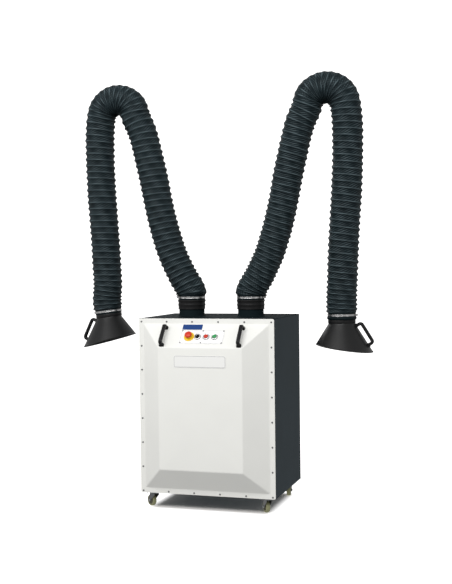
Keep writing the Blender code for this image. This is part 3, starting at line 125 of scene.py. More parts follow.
def moved(part, matrix):
    """A part carried by a matrix."""
    verts, quads = part
    m = np.array(matrix)
    return verts @ m[:3, :3].T + m[:3, 3], quads


def placed(part, places, base=Matrix.Identity(4), turn=Matrix.Identity(4)):
    """Copies of a part, each turned about itself and then moved to its place in the base frame."""
    return [moved(part, base @ Matrix.Translation(place) @ turn) for place in places]


def merged(parts):
    """Several parts as one."""
    verts, quads, count = [], [], 0
    for v, q in parts:
        verts.append(v)
        quads.append(q + count)
        count += len(v)
    return np.concatenate(verts), np.concatenate(quads)


def outward(part):
    """The same closed part with its faces turned out, found from the sign of its volume."""
    verts, quads = part
    a, b, c, d = (verts[quads[:, i]] for i in range(4))
    volume = np.einsum("ij,ij->i", a, np.cross(b, c)) + np.einsum("ij,ij->i", a, np.cross(c, d))
    return (verts, quads) if volume.sum() > 0 else (verts, quads[:, ::-1])


def grid_quads(rows, columns, close_rows=False):
    """Quads of a grid of rows by columns: the columns run round, and the rows too where they close."""
    i, j = np.meshgrid(np.arange(rows if close_rows else rows - 1), np.arange(columns), indexing="ij")
    down, across = (i + 1) % rows, (j + 1) % columns
    corners = [i * columns + j, i * columns + across, down * columns + across, down * columns + j]
    return np.stack(corners, -1).reshape(-1, 4)


def ring(radius, angle, z):
    """Points at x = radius * cos(angle), y = radius * sin(angle), z; any of them may be a single number."""
    return np.stack(np.broadcast_arrays(radius * np.cos(angle), radius * np.sin(angle), z), -1)


def solid(
    name, parts, body, material, replaces=(), matrix=None, sharp=35, weld=True, uv=None, marks=None
):
    """One piece from closed parts: faces out, poles welded, its material on, and riding on its body.

    With a uv for each point, a quad over the seam takes the next turn's uv on its far side, so that no
    thread runs back across it. Marks are numbers at each point that the material reads by name.
    """
    verts, quads = merged([outward(part) for part in parts])
    if matrix is not None:
        verts, quads = moved((verts, quads), matrix)
    mesh = bpy.data.meshes.new(name)
    mesh.from_pydata(verts.tolist(), [], quads.tolist())
    if uv is not None:
        corners = uv[quads]
        whole = corners[..., 1].max() + uv[1, 1] - uv[0, 1]
        corners[..., 1] += whole * ((corners[..., 1].max(1, keepdims=True) - corners[..., 1]) > whole / 2)
        mesh.uv_layers.new(name="UVMap").data.foreach_set("uv", corners.astype(np.float32).ravel())
    for key, values in (marks or {}).items():
        mesh.attributes.new(key, "FLOAT", "POINT").data.foreach_set("value", values.astype(np.float32))
    if weld:
        bm = bmesh.new()
        bm.from_mesh(mesh)
        bmesh.ops.remove_doubles(bm, verts=bm.verts, dist=0.000002)
        bm.to_mesh(mesh)
        bm.free()
    mesh.shade_smooth()
    mesh.set_sharp_from_angle(angle=math.radians(sharp))
    mesh.materials.append(material)
    obj = bpy.data.objects.new(name, mesh)
    bpy.context.scene.collection.objects.link(obj)
    if body:
        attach(obj, body)
    if replaces:
        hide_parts(*replaces)
    return obj


def lathe(profile, sides=64, hexed=()):
    """A closed profile of (radius, height) carried round Z.

    Hexed rows follow a hexagon instead of a circle: the radius over the cosine of the angle to the middle
    of the nearest flat. A profile that starts on the axis stays open there.
    """
    profile = np.asarray(profile, float)
    angle = TAU * np.arange(sides) / sides
    r = np.repeat(profile[:, :1], sides, 1)
    r[list(hexed)] *= 1 / np.cos((angle + math.pi / 6) % (math.pi / 3) - math.pi / 6)
    verts = ring(r, angle, profile[:, 1:]).reshape(-1, 3)
    return verts, grid_quads(len(profile), sides, close_rows=profile[0, 0] > 0)


def rounded(profile, radius, steps=4):
    """A closed profile whose corners are cut to a curve: a parabola from one side of each to the other."""
    p = np.asarray(profile, float)
    before, after = np.roll(p, 1, 0) - p, np.roll(p, -1, 0) - p
    len_b, len_a = np.linalg.norm(before, axis=1), np.linalg.norm(after, axis=1)
    reach = np.minimum(np.minimum(len_b, len_a) * 0.45, radius)[:, None]
    start, end = p + before / len_b[:, None] * reach, p + after / len_a[:, None] * reach
    t = np.linspace(0, 1, steps + 1)[None, :, None]
    curve = start[:, None] * (1 - t) ** 2 + p[:, None] * 2 * t * (1 - t) + end[:, None] * t**2
    return curve.reshape(-1, 2)


def bent(points, reach, steps=5):
    """An open line whose inner corners become parabolas that start and end a reach away from the corner."""
    p = np.asarray(points, float)
    corner, before, after = p[1:-1], p[:-2] - p[1:-1], p[2:] - p[1:-1]
    len_b, len_a = np.linalg.norm(before, axis=1)[:, None], np.linalg.norm(after, axis=1)[:, None]
    cut = np.minimum(np.minimum(len_b, len_a) * 0.48, np.reshape(reach, (-1, 1)))
    start, end = corner + before / len_b * cut, corner + after / len_a * cut
    t = np.linspace(0, 1, steps + 1)[None, :, None]
    curve = start[:, None] * (1 - t) ** 2 + corner[:, None] * 2 * t * (1 - t) + end[:, None] * t**2
    return np.concatenate([p[:1], curve.reshape(-1, p.shape[1]), p[-1:]])


def rounded_loop(width, height, radius, steps=6):
    """Outline of a rectangle about the origin, anticlockwise, with a quarter circle at each corner."""
    quarter = np.arange(4)[:, None]
    a = math.pi / 2 * (quarter + np.linspace(0, 1, steps + 1)[None, :])
    sx, sy = np.array([1, -1, -1, 1])[:, None], np.array([1, 1, -1, -1])[:, None]
    x = sx * (width / 2 - radius) + radius * np.cos(a)
    y = sy * (height / 2 - radius) + radius * np.sin(a)
    return np.stack([x.ravel(), y.ravel()], -1)


def stacked(loops, heights, close_rows=False):
    """Loops of equal count, each at its height, joined into one skin; it ends in points, or it closes."""
    verts = [np.column_stack([loop, np.full(len(loop), z)]) for loop, z in zip(loops, heights)]
    return np.concatenate(verts), grid_quads(len(loops), len(loops[0]), close_rows)


def plate(width, height, radius, thickness, edge=0.0004):
    """A flat plate with rounded corners and softened edges, from z = 0 to its thickness."""
    full = rounded_loop(width, height, radius)
    less = rounded_loop(width - 2 * edge, height - 2 * edge, max(radius - edge, edge / 4))
    loops = [full * 0, less, full, full, less, full * 0]
    return stacked(loops, [0, 0, edge, thickness - edge, thickness, thickness])


def edge_line(width, height, radius, band):
    """A flat ring of one band's width inside a rounded rectangle."""
    outer = rounded_loop(width, height, radius)
    inner = rounded_loop(width - 2 * band, height - 2 * band, radius - band)
    return stacked([outer, outer, inner, inner], [0, 0.0001, 0.0001, 0], close_rows=True)


def swept(path, section, up):
    """A closed section carried along an open path in the plane whose normal is up, capped flat.

    A point of the section lies its first number along (tangent x up) and its second along up.
    """
    tangent = np.gradient(path, axis=0)
    tangent /= np.linalg.norm(tangent, axis=1)[:, None]
    out = np.cross(tangent, up)
    skin = path[:, None] + out[:, None] * section[None, :, :1] + np.array(up) * section[None, :, 1:]
    ends = [np.repeat(path[i][None], len(section), 0)[None] for i in (0, -1)]
    verts = np.concatenate([ends[0], skin, ends[1]]).reshape(-1, 3)
    return verts, grid_quads(len(path) + 2, len(section))


def bar_section(width, height, power, count=20):
    """A superellipse: half the width times |cos a| ** (2 / power), half the height times the same of sin a."""
    a = TAU * np.arange(count) / count
    c, s = np.cos(a), np.sin(a)
    x = width / 2 * np.sign(c) * abs(c) ** (2 / power)
    y = height / 2 * np.sign(s) * abs(s) ** (2 / power)
    return np.stack([x, y], -1)


# ---- camera, light and floor ----

def tune(node, **values):
    """Constants on a node's own sockets; an underscore in a label stands for a space."""
    for label, value in values.items():
        node.inputs[label.replace("_", " ")].default_value = value


def new_material(name):
    """A material, its node tree and its shader."""
    material = bpy.data.materials.new(name)
    material.use_nodes = True
    return material, material.node_tree, material.node_tree.nodes["Principled BSDF"]


def calculated(tree, operation, first, second):
    """Output of a Math node; the first input is a socket, and the second a socket or a number."""
    step = tree.nodes.new("ShaderNodeMath")
    step.operation = operation
    tree.links.new(first, step.inputs[0])
    if isinstance(second, float):
        step.inputs[1].default_value = second
    else:
        tree.links.new(second, step.inputs[1])
    return step.outputs["Value"]


def camera():
    """The photograph's camera: turned 17 degrees to the left, 1.6 down, and a little rolled."""
    place = (1.879, -5.828, 1.400)
    yaw, pitch, roll = math.radians(17.445), math.radians(1.57), -0.0111
    focal_pixels, longer_side_pixels, sensor = 1049.79, 584, 36
    right = Vector((math.cos(yaw), math.sin(yaw), 0))
    flat = math.cos(pitch)
    ahead = Vector((-math.sin(yaw) * flat, math.cos(yaw) * flat, -math.sin(pitch)))
    up = right.cross(ahead)
    rolled_right = right * math.cos(roll) + up * math.sin(roll)
    rolled_up = up * math.cos(roll) - right * math.sin(roll)
    data = bpy.data.cameras.new("camera")
    data.sensor_width = sensor
    data.lens = focal_pixels * sensor / longer_side_pixels
    obj = bpy.data.objects.new("camera", data)
    bpy.context.scene.collection.objects.link(obj)
    turn = Matrix((rolled_right, rolled_up, -ahead)).transposed().to_4x4()
    obj.matrix_world = Matrix.Translation(place) @ turn
    bpy.context.scene.camera = obj


def area_light(name, place, aim, size, power):
    """A rectangular light at a place, turned to its aim; its size is width and height, its power in watts."""
    data = bpy.data.lights.new(name, "AREA")
    data.shape = "RECTANGLE"
    data.size, data.size_y = size
    data.energy = power
    obj = bpy.data.objects.new(name, data)
    obj.location = place
    obj.rotation_euler = (Vector(aim) - Vector(place)).to_track_quat("-Z", "Y").to_euler()
    bpy.context.scene.collection.objects.link(obj)


def studio():
    """White surroundings, a large key light high in front, and weak ones at both sides and behind."""
    world = bpy.data.worlds.new("studio")
    world.use_nodes = True
    tune(world.node_tree.nodes["Background"], Color=(1, 1, 1, 1), Strength=0.5)
    bpy.context.scene.world = world
    area_light("key_light", (-0.4, -4.0, 4.3), (0, 0, 0.9), (5.4, 2.0), 219)
    area_light("right_light", (4.4, -2.4, 2.6), (0, 0, 1.2), (0.8, 2.8), 12)
    area_light("left_light", (-4.4, -2.4, 2.6), (0, 0, 1.2), (0.8, 2.8), 14)
    area_light("back_light", (-2.4, 3.6, 3.4), (0, 0, 1.2), (2.0, 2.0), 25)
    bpy.context.scene.view_settings.view_transform = "Standard"


def floor_material():
    """White that glows, apart from a rectangle under the cabinet where the shadow falls: a painted shadow, as
    the glow stops there.

    The glow rises over a soft border: the distance outside the rectangle is the larger of
    |x - its middle| - half its width and |y - its middle| - half its depth.
    """
    dark_until, bright_from = -0.04, 0.035
    material, tree, shader = new_material("white_floor_painted_shadow")
    tune(shader, Base_Color=(0.88, 0.86, 0.84, 1), Roughness=0.9, Specular_IOR_Level=0.1)
    tune(shader, Emission_Color=(1, 1, 1, 1))
    spot = tree.nodes.new("ShaderNodeSeparateXYZ")
    tree.links.new(tree.nodes.new("ShaderNodeTexCoord").outputs["Object"], spot.inputs["Vector"])
    outside = []
    for axis, middle, half in (("X", 0.0, 0.352), ("Y", 0.045, 0.279)):
        offset = calculated(tree, "SUBTRACT", spot.outputs[axis], middle)
        outside.append(calculated(tree, "SUBTRACT", calculated(tree, "ABSOLUTE", offset, 0.0), half))
    # Painted shadow: the glow fades to nothing in a soft rectangle under the cabinet
    glow_round_painted_shadow = tree.nodes.new("ShaderNodeMapRange")
    glow_round_painted_shadow.interpolation_type = "SMOOTHSTEP"
    tune(glow_round_painted_shadow, From_Min=dark_until, From_Max=bright_from, To_Max=1.0)
    tree.links.new(calculated(tree, "MAXIMUM", *outside), glow_round_painted_shadow.inputs["Value"])
    tree.links.new(glow_round_painted_shadow.outputs["Result"], shader.inputs["Emission Strength"])
    return material


def floor():
    """A white bowl: a flat floor that bends up through a quarter circle into a wall all around the object."""
    flat, bend, wall, sides = 13.0, 3.0, 8.0, 96
    angle = np.linspace(0, math.pi / 2, 13)
    radius = np.concatenate([[flat / 2], flat + bend * np.sin(angle), [flat + bend]])[:, None]
    z = np.concatenate([[0.0], bend - bend * np.cos(angle), [bend + wall]])[:, None]
    verts = ring(radius, TAU * np.arange(sides) / sides, z).reshape(-1, 3)
    quads = grid_quads(len(radius), sides)[:, ::-1]
    mesh = bpy.data.meshes.new("floor_sweep")
    mesh.from_pydata(verts.tolist(), [], [list(range(sides))] + quads.tolist())
    mesh.shade_smooth()
    mesh.materials.append(floor_material())
    obj = bpy.data.objects.new("floor_sweep", mesh)
    bpy.context.scene.collection.objects.link(obj)
    obj.visible_diffuse = False
    obj.visible_glossy = False


camera()
studio()
floor()


# ---- finishes ----

def noise(tree, place, scale, detail):
    """Output of a Noise Texture at a place."""
    texture = tree.nodes.new("ShaderNodeTexNoise")
    tune(texture, Scale=scale, Detail=detail)
    tree.links.new(place, texture.inputs["Vector"])
    return texture.outputs["Fac"]


def finish(
    name, colour, roughness, metallic=0.0, specular=0.5, shade=0.0, shade_scale=6.0, grain=0.0,
    grain_scale=900.0, stretch=None,
):
    """A surface whose colour drifts by the share named shade, and whose fine grain drives roughness and height.

    The grain is a height in metres. Stretched grain goes through a Mapping node first, which leaves fine
    marks along the axis with the lowest number, as brushing or drawing does.
    """
    material, tree, shader = new_material(name)
    place = tree.nodes.new("ShaderNodeTexCoord").outputs["Object"]
    ramp = tree.nodes.new("ShaderNodeValToRGB")
    low, high = ramp.color_ramp.elements
    low.position, high.position = 0.3, 0.7
    low.color = (*[c * (1 - shade) for c in colour], 1)
    high.color = (*[min(1, c * (1 + shade)) for c in colour], 1)
    tree.links.new(noise(tree, place, shade_scale, 6), ramp.inputs["Fac"])
    tree.links.new(ramp.outputs["Color"], shader.inputs["Base Color"])
    if stretch:
        mapping = tree.nodes.new("ShaderNodeMapping")
        tune(mapping, Scale=stretch)
        tree.links.new(place, mapping.inputs["Vector"])
        place = mapping.outputs["Vector"]
    speck = noise(tree, place, grain_scale, 3)
    rough = tree.nodes.new("ShaderNodeMapRange")
    tune(rough, To_Min=roughness * 0.85, To_Max=min(1, roughness * 1.15))
    tree.links.new(speck, rough.inputs["Value"])
    tree.links.new(rough.outputs["Result"], shader.inputs["Roughness"])
    bump = tree.nodes.new("ShaderNodeBump")
    tune(bump, Strength=0.5, Distance=grain)
    tree.links.new(speck, bump.inputs["Height"])
    tree.links.new(bump.outputs["Normal"], shader.inputs["Normal"])
    tune(shader, Metallic=metallic, Specular_IOR_Level=specular)
    return material


def brushed(name, colour, roughness, stretch):
    """Bare metal with fine marks along one axis."""
    return finish(
        name, colour, roughness, 1.0, shade=0.06, shade_scale=30, grain=0.00003, grain_scale=500,
        stretch=stretch,
    )


def hose_cloth():
    """Coated cloth over wire: paler where its mark is high, a painted highlight, and a fine weave of crossed
    waves.
    """
    material = finish(
        "coated_cloth", (0.0040, 0.0088, 0.0108), 0.5, specular=0.08, shade=0.25, shade_scale=14, grain=0.00012
    )
    tree = material.node_tree
    ramp, bump = (next(n for n in tree.nodes if n.type == kind) for kind in ("VALTORGB", "BUMP"))
    ridge_and_highlight = tree.nodes.new("ShaderNodeAttribute")
    ridge_and_highlight.attribute_name = "ridge_and_highlight"
    painted_highlight = tree.nodes.new("ShaderNodeMix")
    painted_highlight.data_type = "RGBA"
    tree.links.new(ridge_and_highlight.outputs["Fac"], painted_highlight.inputs["Factor"])
    tree.links.new(ramp.outputs["Color"], painted_highlight.inputs["A"])
    # Painted highlight: the paler colour mixed in where the mark is high
    painted_highlight.inputs["B"].default_value = (0.110, 0.146, 0.160, 1)
    tree.links.new(painted_highlight.outputs["Result"], tree.nodes["Principled BSDF"].inputs["Base Color"])
    uv = tree.nodes.new("ShaderNodeUVMap")
    uv.uv_map = "UVMap"
    threads = []
    for direction in ("X", "Y"):
        thread = tree.nodes.new("ShaderNodeTexWave")
        thread.bands_direction = direction
        tune(thread, Scale=300, Distortion=0.4)
        tree.links.new(uv.outputs["UV"], thread.inputs["Vector"])
        threads.append(thread.outputs["Fac"])
    tune(bump, Strength=0.4)
    tree.links.new(calculated(tree, "MULTIPLY", *threads), bump.inputs["Height"])
    return material


WHITE_COAT = finish(
    "white_powder_coat", (0.80, 0.80, 0.765), 0.42, specular=0.3, shade=0.012, grain=0.00005, grain_scale=700
)
WHITE_PLATE = finish("white_sign_plate", (0.86, 0.86, 0.85), 0.34, specular=0.3, shade=0.006, grain=0.00001)
BADGE_PLATE = finish("pale_badge_plate", (0.82, 0.82, 0.80), 0.3, shade=0.01, grain=0.00001)
BLUE_PLATE = finish("blue_enamel_plate", (0.011, 0.046, 0.185), 0.4, specular=0.2, shade=0.03, grain=0.00001)
# Grey for the badge's printed outline, and for a painted shade line round the control plate's rim
EDGE_PRINT_AND_SHADE = finish("grey_edge_print_and_painted_shade", (0.30, 0.30, 0.31), 0.4, grain=0.00001)
DARK_COAT = finish(
    "anthracite_powder_coat", (0.023, 0.036, 0.044), 0.6, specular=0.1, shade=0.06, grain=0.00007,
    grain_scale=650,
)
# Painted shade: a darker copy of the anthracite coat for the top plate and the stubs, which take little light
SHADED_ANTHRACITE = finish(
    "anthracite_painted_shade", (0.0065, 0.0125, 0.0145), 0.7, specular=0.04, shade=0.06, grain=0.00007,
    grain_scale=650,
)
BLACK_PLASTIC = finish(
    "black_moulded_plastic", (0.0072, 0.0073, 0.0077), 0.45, specular=0.2, shade=0.15, grain=0.00006,
    grain_scale=1200,
)
HOOD_PLASTIC = finish(
    "satin_black_plastic", (0.0075, 0.0077, 0.008), 0.38, specular=0.32, shade=0.12, shade_scale=9,
    grain=0.00003, grain_scale=1000,
)
ZINC = finish(
    "zinc_plated_steel", (0.45, 0.46, 0.47), 0.34, 1.0, shade=0.10, shade_scale=45, grain=0.00003,
    grain_scale=800,
)
BAND_STEEL = brushed("brushed_band_steel", (0.50, 0.50, 0.498), 0.24, (1, 1, 14))
FORK_STEEL = finish(
    "fork_steel", (0.20, 0.205, 0.21), 0.36, 1.0, shade=0.12, shade_scale=45, grain=0.00004, grain_scale=700
)
LINK_STEEL = brushed("drawn_aluminium_tube", (0.62, 0.63, 0.64), 0.3, (8, 8, 1))
CHROME = finish("chrome_plate", (0.86, 0.865, 0.87), 0.2, 1.0, shade=0.02, grain=0.000004)
SCREW_STEEL = finish("screw_steel", (0.19, 0.19, 0.195), 0.38, 1.0, shade=0.1, shade_scale=60, grain=0.00002)
TREAD = finish(
    "castor_rubber", (0.29, 0.29, 0.155), 0.62, shade=0.12, shade_scale=40, grain=0.00008, grain_scale=800
)
WHEEL_CORE = finish(
    "castor_core_plastic", (0.16, 0.155, 0.11), 0.45, shade=0.08, shade_scale=40, grain=0.00003
)
YELLOW = finish("yellow_stop_plastic", (0.84, 0.56, 0.022), 0.36, specular=0.3, shade=0.04, grain=0.00002)
RED = finish("red_button_plastic", (0.56, 0.036, 0.014), 0.32, specular=0.3, shade=0.05, grain=0.00001)
GREEN = finish("green_button_plastic", (0.035, 0.29, 0.09), 0.32, specular=0.3, shade=0.05, grain=0.00001)
FILTER_PAPER = finish(
    "pleated_filter_fleece", (0.72, 0.71, 0.62), 0.9, shade=0.08, shade_scale=20, grain=0.0002, grain_scale=1500
)
MOTOR_COAT = finish("grey_motor_enamel", (0.22, 0.24, 0.26), 0.4, shade=0.06, grain=0.0001, grain_scale=500)
FAN_STEEL = brushed("spun_fan_steel", (0.55, 0.56, 0.57), 0.3, (1, 1, 5))
HOSE_CLOTH = hose_cloth()

CAD_FINISH = {
    # the top plate's darker coat is a painted shade
    "cabinet_shell": DARK_COAT, "top_plate": SHADED_ANTHRACITE, "base_plate": DARK_COAT, "filter_deck": ZINC,
    "fan_scroll": ZINC, "fan_motor": MOTOR_COAT, "fan_impeller": FAN_STEEL, "electrics_box": MOTOR_COAT,
    "exhaust_grille": DARK_COAT, "cable_gland": BLACK_PLASTIC, "control_plate": WHITE_PLATE,
    "front_panel": WHITE_COAT, "emergency_stop_collar": YELLOW, "emergency_stop_button": RED,
    "stop_button": RED, "start_button": GREEN, "selector_knob": BLACK_PLASTIC,
}
CAD_FAMILIES = {
    "castor_wheel": TREAD, "castor": FORK_STEEL, "filter_cartridge": FILTER_PAPER, "lower_link": LINK_STEEL,
    "upper_link": LINK_STEEL, "shoulder_bracket": ZINC, "hood_bracket": ZINC, "base_clamp": BAND_STEEL,
    "hood_clamp": BAND_STEEL, "hood_handle": BLACK_PLASTIC, "hood": HOOD_PLASTIC, "grab_handle": BLACK_PLASTIC,
    "stub_pipe": SHADED_ANTHRACITE, "swivel_cuff": BLACK_PLASTIC, "hose": HOSE_CLOTH, "selector_bezel": CHROME,
    "stop_bezel": CHROME, "start_bezel": CHROME,
}


def dress_solids():
    """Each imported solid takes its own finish, found by its name or by the family that its name begins with."""
    for name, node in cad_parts.items():
        family = next((key for key in CAD_FAMILIES if name.startswith(key)), None)
        chosen = CAD_FINISH.get(name) or CAD_FAMILIES[family]
        node.data.materials.clear()
        node.data.materials.append(chosen)


dress_solids()


# ---- front panel with its raised middle ----

def front_panel():
    """Rounded rectangles drawn in by d and lifted by z, for each (d, z) of a bent line; the sheet closes.

    The line runs over the front, from the edge up the slope to the flat middle, and back behind it.
    """
    run, inner, top = BORDER + RELIEF_SLOPE_WIDTH, 0.3, SHEET + RELIEF_DEPTH
    back_in = SHEET * math.tan(math.atan2(RELIEF_DEPTH, RELIEF_SLOPE_WIDTH) / 2)
    front = bent([(0, 0), (0, SHEET), (BORDER, SHEET), (run, top), (inner, top)], [0.0005, 0.005, 0.006])
    back = [(inner, RELIEF_DEPTH), (run + back_in, RELIEF_DEPTH), (BORDER + back_in, 0), (SHEET, 0)]
    line = np.concatenate([front, bent(back, [0.004, 0.006])])
    loops = [rounded_loop(CABINET_WIDTH - 2 * d, CABINET_HEIGHT - 2 * d, 0.009 - 0.01 * d, 5) for d, _ in line]
    middle = len(front)
    loops = loops[:middle] + [loops[0] * 0] * 2 + loops[middle:]
    return stacked(loops, np.insert(line[:, 1], middle, [top, RELIEF_DEPTH]), close_rows=True)


PANEL = face_frame(FRONT_Y + SHEET) @ shifted(0, BASE_Z + CABINET_HEIGHT / 2, 0)
solid("front_sheet", [front_panel()], "cabinet", WHITE_COAT, ["front_panel"], matrix=PANEL, sharp=30)


# ---- screws and bare plates ----

def screw_head(radius, height):
    """A low domed head turned from its outline, with a six-sided socket in it."""
    socket = radius * 0.45
    profile = [
        (0, height * 0.35), (socket, height * 0.35), (socket, height * 0.96), (socket * 1.15, height),
        (radius * 0.7, height * 0.86), (radius * 0.93, height * 0.5), (radius, height * 0.12),
        (radius * 0.98, 0), (0, 0),
    ]
    return lathe(profile, 36, hexed=(1, 2))


def hex_head(radius, height):
    """A six-sided head on a round washer, turned from its outline."""
    profile = [
        (0, height), (radius * 0.8, height), (radius, height * 0.85), (radius, height * 0.22),
        (radius * 1.3, height * 0.22), (radius * 1.34, height * 0.12), (radius * 1.34, 0), (0, 0),
    ]
    return lathe(profile, 48, hexed=(1, 2, 3))


# Screws round the whole border; heights are above the cabinet's foot
COLUMNS = (-0.384, -0.230, -0.077, 0.077, 0.230, 0.384)
ROWS = (0.982, 0.843, 0.706, 0.567, 0.428, 0.289, 0.150, 0.011)
BORDER_PLACES = [
    (x, BASE_Z + z, 0) for z in ROWS for x in COLUMNS
    if z in (ROWS[0], ROWS[-1]) or x in (COLUMNS[0], COLUMNS[-1])
]
screws = placed(screw_head(0.0052, 0.003), BORDER_PLACES, face_frame(FRONT_Y))
solid("flange_screws", screws, "cabinet", SCREW_STEEL)

SLOPE = slope_frame()
PLATE_TOP = FIT + CONTROL_PLATE
PLATE_PLACES = [(x, y, PLATE_TOP) for x in (-0.121, 0.0, 0.121) for y in (-0.041, 0.041)]
screws = placed(screw_head(0.0042, 0.0022), PLATE_PLACES, SLOPE)
solid("control_plate_screws", screws, "cabinet", SCREW_STEEL)

BADGE = face_frame(FRONT_Y - RELIEF_DEPTH) @ shifted(0, BASE_Z + 0.767, 0.0001)
# Painted shade: a thin grey line on the control plate's rim stands in for the shade in the gap round it
solid(
    "control_plate_painted_gap_shade", [edge_line(0.250, 0.090, 0.005, 0.0012)], "cabinet", EDGE_PRINT_AND_SHADE,
    matrix=SLOPE @ shifted(0, 0, PLATE_TOP),
)
solid(
    "slope_plate", [plate(0.116, 0.036, 0.002, 0.0006, 0.0002)], "cabinet", BLUE_PLATE,
    matrix=SLOPE @ shifted(-0.0685, CONTROLS_DOWN - 0.0225, 0.0002),
)
solid(
    "badge_plate", [plate(0.304, 0.068, 0.012, 0.0015, 0.0005)], "cabinet", BADGE_PLATE,
    matrix=BADGE,
)
solid(
    "badge_plate_edge", [edge_line(0.298, 0.062, 0.010, 0.0016)], "cabinet", EDGE_PRINT_AND_SHADE,
    matrix=BADGE @ shifted(0, 0, 0.0015),
)


# ---- controls: each outline is (radius, height over its seat) ----

CONTROL_X = {"emergency_stop": -0.075, "selector": -0.025, "stop": 0.025, "start": 0.075}
BEZEL = rounded([
    (0.0172, 0.007), (0.0182, 0.0), (0.011, 0.0), (0.011, -0.03), (0.0066, -0.03), (0.0066, 0.0009),
    (0.0124, 0.0009), (0.0124, 0.007),
], 0.0012, 3)
SEAL = rounded([(0.0178, 0.0013), (0.0192, 0.0012), (0.0194, 0.0), (0.0178, 0.0)], 0.0004, 2)
CAP = [
    (0, 0.0106), (0.005, 0.0105), (0.0095, 0.0100), (0.0109, 0.0092), (0.0115, 0.0078), (0.0116, 0.0045),
    (0.006, 0.0045), (0.006, -0.018), (0, -0.018),
]
KNOB = [
    (0, 0.0072), (0.0098, 0.0072), (0.0105, 0.0064), (0.0105, 0.0045), (0.006, 0.0045), (0.006, -0.018),
    (0, -0.018),
]
COLLAR = rounded([
    (0.016, 0.010), (0.0165, 0.0034), (0.0294, 0.0032), (0.0302, 0.0018), (0.0302, 0.0), (0.011, 0.0),
    (0.011, -0.03), (0.0066, -0.03), (0.0066, 0.010),
], 0.0008, 3)
MUSHROOM = [
    (0, 0.0292), (0.006, 0.0289), (0.013, 0.0275), (0.0176, 0.0252), (0.0204, 0.0228), (0.0212, 0.0207),
    (0.0208, 0.0192), (0.0190, 0.0172), (0.016, 0.0156), (0.0135, 0.0156), (0.006, 0.0156), (0.006, -0.018),
    (0, -0.018),
]
# The selector's grip: (width, height, level) of each rounded rectangle
GRIP_LOOPS = (
    (0.0001, 0.0046, 0.0055), (0.006, 0.018, 0.0055), (0.0078, 0.0205, 0.0072), (0.0072, 0.0200, 0.0150),
    (0.0052, 0.0180, 0.0182), (0.0001, 0.0046, 0.0186),
)


def seat(label, z=0.0):
    """Frame of one control, a fit above the control plate."""
    return SLOPE @ shifted(CONTROL_X[label], 0, PLATE_TOP + FIT + z)


for label in ("selector", "stop", "start"):
    node = label + "_bezel"
    solid(label + "_ring", [lathe(BEZEL, 56)], "cabinet", CHROME, [node], matrix=seat(label), sharp=40)
    seal = [lathe(SEAL, 56)]
    solid(label + "_seal", seal, "cabinet", BLACK_PLASTIC, matrix=seat(label, 0.0001), sharp=40)

for label, colour in (("stop", RED), ("start", GREEN)):
    cap = [lathe(CAP, 48)]
    solid(label + "_cap", cap, label + "_push", colour, [label + "_button"], matrix=seat(label), sharp=40)

grip = stacked([rounded_loop(w, h, 0.0022) for w, h, _ in GRIP_LOOPS], [z for _, _, z in GRIP_LOOPS])
knob = [lathe(KNOB, 48), grip]
solid("selector_grip", knob, "selector", BLACK_PLASTIC, ["selector_knob"], matrix=seat("selector"), sharp=40)
mark = placed(plate(0.0012, 0.008, 0.0005, 0.0003, 0.0001), [(0, 0.004, 0.0185)])
solid("selector_mark", mark, "selector", WHITE_PLATE, matrix=seat("selector"))

stop = seat("emergency_stop")
solid("stop_collar", [lathe(COLLAR, 72)], "cabinet", YELLOW, ["emergency_stop_collar"], matrix=stop, sharp=40)
mushroom = [lathe(MUSHROOM, 72)]
solid("stop_mushroom", mushroom, "emergency_stop", RED, ["emergency_stop_button"], matrix=stop, sharp=45)


# ---- handles ----

def loop_handle(length, height, bar, width, corner, power):
    """A bar carried over two feet: up, along with rounded corners, and down again, in X and Z."""
    half, top = length / 2 - bar / 2, height - bar / 2
    line = bent([(-half, 0), (-half, top), (half, top), (half, 0)], corner, 8)
    path = np.stack([line[:, 0], 0 * line[:, 0], line[:, 1]], -1)
    return swept(path, bar_section(bar, width, power), (0, 1, 0))


def foot_pads(length, bar, width, rise):
    """A block round each foot of a handle: rounded rectangles half as large again, then drawn in a little."""
    loops = [rounded_loop(bar * s, width * s, bar * 0.3) for s in (0.001, 1.5, 1.5, 1.3, 0.001)]
    block = stacked(loops, [0, 0, rise * 0.75, rise, rise])
    return placed(block, [(-(length - bar) / 2, 0, 0), ((length - bar) / 2, 0, 0)])


for side, sign in SIDES.items():
    upright = SLOPE @ shifted(sign * 0.226, 0, FIT) @ turned(math.pi / 2, "Z")
    grab = [loop_handle(0.132, 0.040, 0.014, 0.020, 0.012, 6.0)] + foot_pads(0.132, 0.0135, 0.018, 0.010)
    solid(
        f"grab_bar_{side}", grab, "cabinet", BLACK_PLASTIC, [f"grab_handle_{side}"], matrix=upright, sharp=40
    )


# ---- duct stubs, cuffs and bands ----

def worm_band():
    """A steel band with pressed edges, its tail's housing as a block, and a worm screw with its head.

    The band is turned about Z; the block and the screw stand on its outer side, at +X.
    """
    radius, half = CLAMP_RADIUS, 0.006
    band = lathe(rounded([
        (radius + 0.0007, -half), (radius + 0.0016, -half + 0.001), (radius + 0.0011, -half + 0.0025),
        (radius + 0.0011, half - 0.0025), (radius + 0.0016, half - 0.001), (radius + 0.0007, half),
        (radius, half), (radius, -half),
    ], 0.0004, 2), 96)
    sizes = ((0.0001, 0.0041), (0.022, 0.0118), (0.022, 0.0118), (0.017, 0.0112), (0.0001, 0.0041))
    block = stacked([rounded_loop(*size, 0.002) for size in sizes], [0, 0, 0.0065, 0.0104, 0.0104])
    stand = shifted(radius + 0.0006, 0, 0) @ turned(math.pi / 2, "Y") @ turned(math.pi / 2, "Z")
    screw_line = shifted(radius + 0.0052, 0, 0) @ turned(math.pi / 2, "X")
    worm = [(0.0034, -0.014), (0.0034, 0.0145), (0.0002, 0.0145), (0.0002, -0.014)]
    head = placed(hex_head(0.0046, 0.008), [(0, 0, 0.0135)], screw_line)
    return [band, moved(block, stand), moved(lathe(rounded(worm, 0.0004, 2), 32), screw_line)] + head


